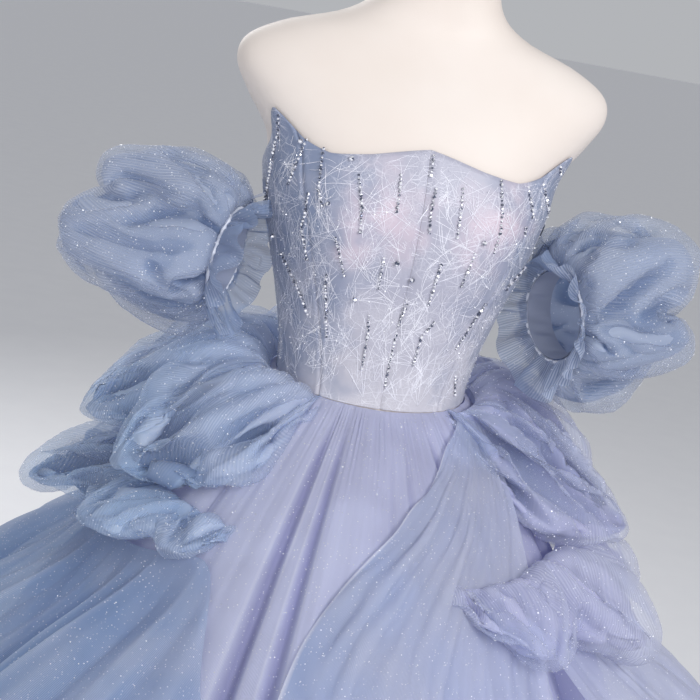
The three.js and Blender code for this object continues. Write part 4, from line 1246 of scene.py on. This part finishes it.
def add_sleeves(puffed, under, frill, lining, elastic, strap):
    """Bands, puffs, frills, elastic edges and straps of both sleeves."""
    for k, sleeve in enumerate(SLEEVES):
        side, hand, centre, lobes = sleeve
        seed = SEED + 70 + 9 * k
        total = len(lobes["at"]) - 1
        count, down = SLEEVE_COARSE
        u, v = lattice(steps(0, total, count + 1)[:-1], steps(0, 1, down))
        for layer, inset in LAYERS:
            points, small = puff_point(sleeve, u, v, seed + inset)
            facing = directions(points, True) * -hand
            points = points - facing * (inset * np.sin(np.pi * v))[..., None]
            start = points + facing * small[..., None]
            held = (v == 0) | (v == 1)
            settled = settle(points, start, held, *PUFF_FULL, True, -hand * PUFF_PUSH)
            facet = (*PUFF_FACETS, seed + inset)
            settled = shown_folds(settled, *SLEEVE_FINE[layer], True, SLEEVE_JAG, facet)
            # Tone of painted shade in the hollows and painted highlight on the ridges
            piece = cloth(f"puff_{side}{layer}", settled, -hand, True, painted_fold_light(settled, True, -hand))
            replaced = None if layer else f"sleeve_puff_{side}"
            dress(piece, under if layer else puffed, replaced, "gathered")
        count, down = FRILL_COARSE
        u, v = lattice(steps(0, total, count + 1)[:-1], steps(0, 1, down))
        points = frill_point(sleeve, u, v, seed + 5)
        settled = settle(points, points, v == 0, *FRILL_FULL, True, 0)
        settled = shown_folds(settled, *FRILL_FINE, True, SLEEVE_JAG, (*FRILL_FACETS, seed + 9))
        piece = cloth(f"frill_{side}", settled, hand, True)
        dress(piece, frill, f"sleeve_frill_{side}", "gathered")
        u, v = lattice(steps(0, 360, 121)[:-1], steps(0, 1, 14))
        crimp = BAND_CRIMP * noise(u / 9 + 0.6 * v, seed + 7) * np.sin(np.pi * v)
        place = BAND_FROM + (BAND_TO - BAND_FROM) * v
        points = sleeve_point(centre, hand, u, BAND_RADIUS + BODICE_WALL - 0.8 + crimp, place)
        piece = cloth(f"band_{side}", points, -hand, True)
        dress(piece, lining, f"sleeve_band_{side}", "gathered")
        u, v = lattice(steps(0, 360, 241)[:-1], steps(0, 360, 9))
        tube = ELASTIC_RADIUS * (1 + ELASTIC_GATHER * noise(u / 3, seed + 8))
        radius = ON_BAND + ELASTIC_RADIUS + tube * np.cos(rad(v))
        points = sleeve_point(centre, hand, u, radius, PUFF_FROM - 1.5 + tube * np.sin(rad(v)))
        dress(cloth(f"elastic_{side}", points, hand, True), elastic)
        add_strap(side, hand, centre, strap)


def add_strap(side, hand, centre, finish):
    """Strap from the top of a band to the side of the bodice."""
    u, v = lattice(steps(0, 1, 13), steps(0, 1, 40))
    on_bodice = hand * (TAB_AT - TAB_SPAN * (u - 0.5))
    lift = BODICE_EASE + BODICE_WALL + SEAM + TULLE_WALL + 0.1
    turn, radius = TAB_TURN * (u - 0.5), ON_BAND + TULLE_WALL
    path = [sleeve_point(centre, hand, turn, radius, place) for place in TAB_ON_BAND]
    path = np.stack(path + [form_point(on_bodice, TAB_Z + up, lift) for up in TAB_ON_BODICE])
    place = v * (len(path) - 1)
    k = np.minimum(place.astype(int), len(path) - 2)
    share = (place - k)[..., None]
    r, c = np.indices(k.shape)
    points = path[k, r, c] * (1 - share) + path[k + 1, r, c] * share
    piece = cloth(f"strap_{side}", points, hand)
    dress(piece, finish, f"sleeve_tab_{side}", "stretched")


def camera_axes():
    """Place of the camera and its right, up and back directions."""
    turn, height, roll = map(math.radians, (CAMERA_TURN, CAMERA_HEIGHT, CAMERA_ROLL))
    back = Vector((math.sin(turn) * math.cos(height), -math.cos(turn) * math.cos(height), math.sin(height)))
    level = (-back).cross(Vector((0, 0, 1))).normalized()
    above = level.cross(-back)
    right = level * math.cos(roll) + above * math.sin(roll)
    up = above * math.cos(roll) - level * math.sin(roll)
    return Vector(CAMERA_TARGET) + back * CAMERA_DISTANCE, right, up, back


def add_camera():
    """Camera at the photograph's angle."""
    place, right, up, back = camera_axes()
    lens = bpy.data.cameras.new("camera")
    lens.sensor_width = SENSOR
    lens.lens = SENSOR * CAMERA_PIXELS / PHOTO_PIXELS
    camera = bpy.data.objects.new("camera", lens)
    bpy.context.scene.collection.objects.link(camera)
    camera.matrix_world = Matrix([(right[k], up[k], back[k], place[k]) for k in range(3)] + [(0, 0, 0, 1)])
    bpy.context.scene.camera = camera


def bodice_hits(panels, pixels):
    """Points in millimetres, and outward directions, where the photograph's pixels fall on the panels."""
    place, right, up, back = camera_axes()
    trees = []
    for panel in panels:
        faces = [p.vertices[:] for p in panel.data.polygons]
        trees.append(BVHTree.FromPolygons([v.co for v in panel.data.vertices], faces))
    hits = []
    half = PHOTO_PIXELS / 2
    for x, y in pixels:
        ray = right * ((x - half) / CAMERA_PIXELS) - up * ((y - half) / CAMERA_PIXELS) - back
        found = [tree.ray_cast(place, ray.normalized()) for tree in trees]
        found = [hit for hit in found if hit[0] is not None]
        if found:
            point, facing = min(found, key=lambda hit: hit[3])[:2]
            facing = facing if facing.dot(ray) < 0 else -facing
            hits.append((np.array(point) / MM, np.array(facing)))
    return hits


def string_places(path, spacing):
    """Places with directions at even spacing along a path of (point, direction) pairs."""
    points, facing = (np.array(each) for each in zip(*path))
    along = arcs(points, 0)
    at = np.arange(0, along[-1], spacing)
    return [np.stack([np.interp(at, along, part) for part in each.T], axis=-1) for each in (points, facing)]


# Beads: radius, spacing on a string, crystals, and strings on the sides and back
BEAD_RADIUS = 1.7
BEAD_SPACING = 3.9
CRYSTAL_RADIUS = 2.6
BACK_STRINGS = 22


def ball(segments, rings):
    """Points and triangles of a faceted ball of radius one."""
    u, v = lattice(steps(0, 360, segments + 1)[:-1], steps(0, 180, rings + 2)[1:-1])
    points = polar(u, np.sin(rad(v)), np.cos(rad(v))).reshape(-1, 3)
    points = np.concatenate([points, [(0, 0, 1), (0, 0, -1)]])
    here = np.arange(segments)
    after = (here + 1) % segments
    faces = [np.stack([here, after, np.full(segments, len(points) - 2)], -1)]
    for k in range(rings - 1):
        a, b = here + k * segments, after + k * segments
        faces += [np.stack([a, a + segments, b], -1), np.stack([b, a + segments, b + segments], -1)]
    low = (rings - 1) * segments
    faces.append(np.stack([after + low, here + low, np.full(segments, len(points) - 1)], -1))
    return points, np.concatenate(faces)


def scatter(name, shape, places, sizes, turns=None):
    """One mesh with a copy of a shape at each place."""
    points, faces = shape
    copies = points[None] if turns is None else np.einsum("nij,pj->npi", turns, points)
    everything = (copies * sizes[:, None, None] + places[:, None, :]).reshape(-1, 3)
    offsets = (np.arange(len(places)) * len(points))[:, None, None]
    return faces_mesh(name, everything, (faces[None] + offsets).reshape(-1, faces.shape[1]), smooth=False)


def random_turns(random, count):
    """Random rotations."""
    w, x, y, z = unit(random.normal(size=(count, 4))).T
    rows = [
        [1 - 2 * (y * y + z * z), 2 * (x * y - w * z), 2 * (x * z + w * y)],
        [2 * (x * y + w * z), 1 - 2 * (x * x + z * z), 2 * (y * z - w * x)],
        [2 * (x * z - w * y), 2 * (y * z + w * x), 1 - 2 * (x * x + y * y)],
    ]
    return np.moveaxis(np.array(rows), -1, 0)


def bodice_facing(degrees, v):
    """Outward direction of the bodice, from close places on it."""
    across = bodice_point(degrees + 0.2, v) - bodice_point(degrees - 0.2, v)
    below = bodice_point(degrees, np.minimum(v + 0.004, 1)) - bodice_point(degrees, np.maximum(v - 0.004, 0))
    return unit(np.cross(below, across))


def add_beads(panels, finish):
    """Bead strings and single crystals: the photograph's in front, and similar ones behind."""
    random = np.random.default_rng(SEED + 100)
    places, facings, sizes = [], [], []
    paths = []
    for string in BEAD_STRINGS:
        pixels = np.concatenate([steps(a, b, 9) for a, b in zip(string, string[1:])])
        paths.append(bodice_hits(panels, pixels))
    for degrees in steps(104, 256, BACK_STRINGS) + random.uniform(-2.5, 2.5, BACK_STRINGS):
        start, length = random.uniform(0.05, 0.6), random.uniform(0.15, 0.3)
        v = steps(start, min(0.96, start + length), 12)
        at = np.full(12, degrees)
        paths.append(list(zip(bodice_point(at, v), bodice_facing(at, v))))
    for path in paths:
        if len(path) > 1:
            at, facing = string_places(path, BEAD_SPACING)
            places.append(at)
            facings.append(facing)
            sizes.append(BEAD_RADIUS * random.uniform(0.75, 1.15, len(at)))
    at, facing = (np.array(each) for each in zip(*bodice_hits(panels, CRYSTALS)))
    places.append(at)
    facings.append(facing)
    sizes.append(np.full(len(at), CRYSTAL_RADIUS))
    places, facings, sizes = np.concatenate(places), np.concatenate(facings), np.concatenate(sizes)
    places = places + facings * (sizes * 0.75)[:, None]
    mesh = scatter("beads", ball(7, 4), places, sizes, random_turns(random, len(places)))
    dress(link("beads", mesh), finish)


def ribbons(paths, widths):
    """Points and faces of flat ribbons along paths of (points, directions)."""
    points, faces, used = [], [], 0
    for (line, facing), width in zip(paths, widths):
        side = unit(np.cross(facing, np.gradient(line, axis=0)))
        taper = (width / 2 * np.sqrt(np.sin(np.pi * steps(0.03, 0.97, len(line)))))[:, None]
        points += [line + side * taper, line - side * taper]
        here = used + np.arange(len(line) - 1)
        faces.append(np.stack([here, here + 1, here + 1 + len(line), here + len(line)], -1))
        used += 2 * len(line)
    return np.concatenate(points), np.concatenate(faces)


# Lace: sprays, millimetres to a degree, heights of the sprays' roots, and how far threads stand off
LACE_SPRAYS = 520
LACE_DEGREE = 2.05
LACE_FROM = 1042
LACE_HIGH = 255
THREAD_LIFT = 0.45
SEQUINS = 2600
SEQUIN_RADIUS = 0.62
# Steps of a spread that fills a field evenly
EVEN_STEPS = (0.7548777, 0.5698403)


def add_lace(finish, sequin):
    """Lace over the bodice: sprays of fine threads with side twigs, and small sequins along them."""
    random = np.random.default_rng(SEED + 200)
    paths, widths = [], []

    def thread(degrees, z, heading, length, bend, width, count):
        """One curved thread from a place, in a heading from upright, if it stays on the bodice."""
        s = steps(0, 1, count)
        aim = rad(heading)
        across = length * (np.sin(aim) * s + bend * np.cos(aim) * 4 * s * (1 - s))
        rising = length * (np.cos(aim) * s - bend * np.sin(aim) * 4 * s * (1 - s))
        at = degrees + across / LACE_DEGREE
        v = (neckline_z(at) - z - rising) / (neckline_z(at) - waist_z(at))
        keep = (v > 0.01) & (v < 0.985)
        if keep.all():
            facing = bodice_facing(at, v)
            paths.append((bodice_point(at, v, THREAD_LIFT), facing))
            widths.append(width)

    for k in range(LACE_SPRAYS):
        degrees = 360 * ((k * EVEN_STEPS[0]) % 1) - 180
        z = LACE_FROM + LACE_HIGH * ((k * EVEN_STEPS[1]) % 1)
        lean = random.normal(0, 34)
        for _ in range(random.integers(3, 7)):
            heading = lean + random.normal(0, 24)
            length = random.uniform(14, 52)
            thread(degrees, z, heading, length, random.normal(0, 0.06), random.uniform(0.3, 0.5), 9)
            for _ in range(random.integers(0, 3)):
                share = random.uniform(0.3, 0.8) * length
                root = degrees + share * math.sin(rad(heading)) / LACE_DEGREE
                turn = heading + random.choice((-1, 1)) * random.uniform(25, 60)
                rest = length * random.uniform(0.25, 0.5)
                thread(root, z + share * math.cos(rad(heading)), turn, rest, random.normal(0, 0.08), 0.3, 6)
    points, faces = ribbons(paths, widths)
    dress(link("lace_threads", faces_mesh("lace_threads", points, faces)), finish)
    on_thread = np.concatenate([line + facing * 0.4 for line, facing in paths])
    chosen = random.choice(len(on_thread), SEQUINS, replace=False)
    sizes = SEQUIN_RADIUS * random.uniform(0.6, 1.3, SEQUINS)
    mesh = scatter("sequins", flake(), on_thread[chosen], sizes, random_turns(random, SEQUINS))
    dress(link("sequins", mesh), sequin)


def flake():
    """Points and face of a flat flake with six corners."""
    turn = rad(steps(0, 360, 7)[:-1])
    return np.stack([np.cos(turn), np.sin(turn), 0 * turn], axis=-1), np.arange(6)[None]


FLAKES = (
    ("tier_upper_left", 3200), ("tier_upper_right", 3200), ("tier_lower_left", 2800),
    ("tier_lower_right", 2800), ("front_drape", 4800), ("long_front", 7000), ("over_left", 3000),
    ("over_right", 4400), ("puff_left", 1900), ("puff_right", 1900),
)
FLAKE_RADIUS = 0.5
FLAKE_LIFT = 0.5


def add_glitter(finish):
    """Glitter flakes lying on the tulle, each tilted its own way."""
    random = np.random.default_rng(SEED + 300)
    places = []
    for name, count in FLAKES:
        piece = bpy.data.objects[name]
        areas = face_values(piece, "area")
        centres, facing = (face_values(piece, what, 3).reshape(-1, 3) for what in ("center", "normal"))
        chosen = random.choice(len(areas), count, p=areas / areas.sum())
        places.append(centres[chosen] / MM + facing[chosen] * FLAKE_LIFT)
    places = np.concatenate(places)
    sizes = FLAKE_RADIUS * random.uniform(0.5, 1.4, len(places))
    mesh = scatter("glitter", flake(), places, sizes, random_turns(random, len(places)))
    dress(link("glitter", mesh), finish)


# Floor's radius and the surroundings
FLOOR_RADIUS = 90000
SKY_COLOUR = (0.82, 0.84, 0.88, 1)
SKY_STRENGTH = 0.55
# Lights: place and aim in metres, size and power
LIGHTS = (
    ("key", (1.3, -2.5, 2.6), (0, 0, 1.0), 1.0, 54),
    ("fill", (-2.4, -2.4, 1.7), (0, 0, 0.9), 2.2, 12),
    ("front", (-0.3, -3.2, 1.6), (0, 0, 0.9), 1.6, 20),
    ("rim", (-1.2, 2.6, 2.4), (0, 0, 1.0), 1.6, 40),
)


def add_light(name, place, aim, size, power):
    """Soft square light aimed at a point."""
    lamp = bpy.data.lights.new(name, "AREA")
    lamp.size = size
    lamp.energy = power
    light = bpy.data.objects.new(name, lamp)
    bpy.context.scene.collection.objects.link(light)
    light.location = place
    light.rotation_euler = (Vector(aim) - Vector(place)).to_track_quat("-Z", "Y").to_euler()


def add_studio():
    """Pale floor, pale surroundings and soft lights."""
    u, v = lattice(steps(0, 360, 97)[:-1], FLOOR_RADIUS * steps(0, 1, 24) ** 3)
    floor = cloth("floor", polar(u, v, 0.0), -1, True)
    floor.data.materials.append(plain("floor_pale", FLOOR_PALE, 0.8, 60))
    world = bpy.data.worlds.new("studio")
    world.use_nodes = True
    bpy.context.scene.world = world
    sky = world.node_tree.nodes["Background"].inputs
    sky[0].default_value = SKY_COLOUR
    sky[1].default_value = SKY_STRENGTH
    for light in LIGHTS:
        add_light(*light)
    bpy.context.scene.view_settings.view_transform = "Standard"


add_camera()
add_studio()
# Plain finishes: colour, roughness, grain to a metre, and metal
PLAIN = {
    "form_jersey": (FORM_CREAM, 0.55, 900, 0.0),
    "stand_enamel": (STAND_GREY, 0.35, 500, 0.85),
    "lining": (LINING_GREY, 0.6, 700, 0.0),
    "elastic_satin": (ELASTIC_PALE, 0.3, 500, 0.0),
    "strap_lace": (LACE_BLUE, 0.6, 700, 0.0),
    "flake_silver": (FLAKE_SILVER, 0.25, 300, 0.2),
    "lace_thread": (LACE_THREAD, 0.6, 900, 0.0),
}
# Tulle finishes: colour left, right and of the painted shade in hollows, how solid, strength and pitch of
# lines painted lighter as a highlight, glitter
TULLE = {
    "tulle_under": (PALE_LILAC, DEEP_LILAC, PAINTED_SHADE_LILAC, 1, 0.12, 3.1, 0.35),
    "tulle_over": (DUSTY_BLUE, PALE_LILAC, PAINTED_SHADE_BLUE, 0.72, 0.22, 2.9, 0.55),
    "tulle_puff": (PUFF_BLUE, PALE_LILAC, PAINTED_SHADE_BLUE, 0.34, 0.3, 2.9, 0.4),
    "tulle_puff_under": (PUFF_BLUE, DEEP_LILAC, PAINTED_SHADE_BLUE, 1, 0.2, 2.9, 0.3),
    "tulle_sleeve": (SLATE_BLUE, SLATE_BLUE, PAINTED_SHADE_BLUE, 0.34, 0.35, 2.9, 0.4),
    "tulle_sleeve_under": (SLATE_BLUE, SLATE_BLUE, PAINTED_SHADE_BLUE, 1, 0.2, 2.9, 0.3),
    "tulle_frill": (SLATE_BLUE, SLATE_BLUE, PAINTED_SHADE_BLUE, 0.62, 0.45, 2.9, 0.3),
}
look = {name: plain(name, *values) for name, values in PLAIN.items()}
look.update({name: tulle(name, *values) for name, values in TULLE.items()})

add_form(look["form_jersey"], look["stand_enamel"])
bodice_panels = add_bodice(lace_ground("lace_ground"))
add_skirt(look["tulle_under"], look["tulle_over"])
add_tiers(look["tulle_puff"], look["tulle_puff_under"])
sleeve_looks = ("tulle_sleeve", "tulle_sleeve_under", "tulle_frill", "lining", "elastic_satin", "strap_lace")
add_sleeves(*(look[name] for name in sleeve_looks))
add_lace(look["lace_thread"], look["flake_silver"])
add_beads(bodice_panels, beaded("bead_silver"))
add_glitter(look["flake_silver"])
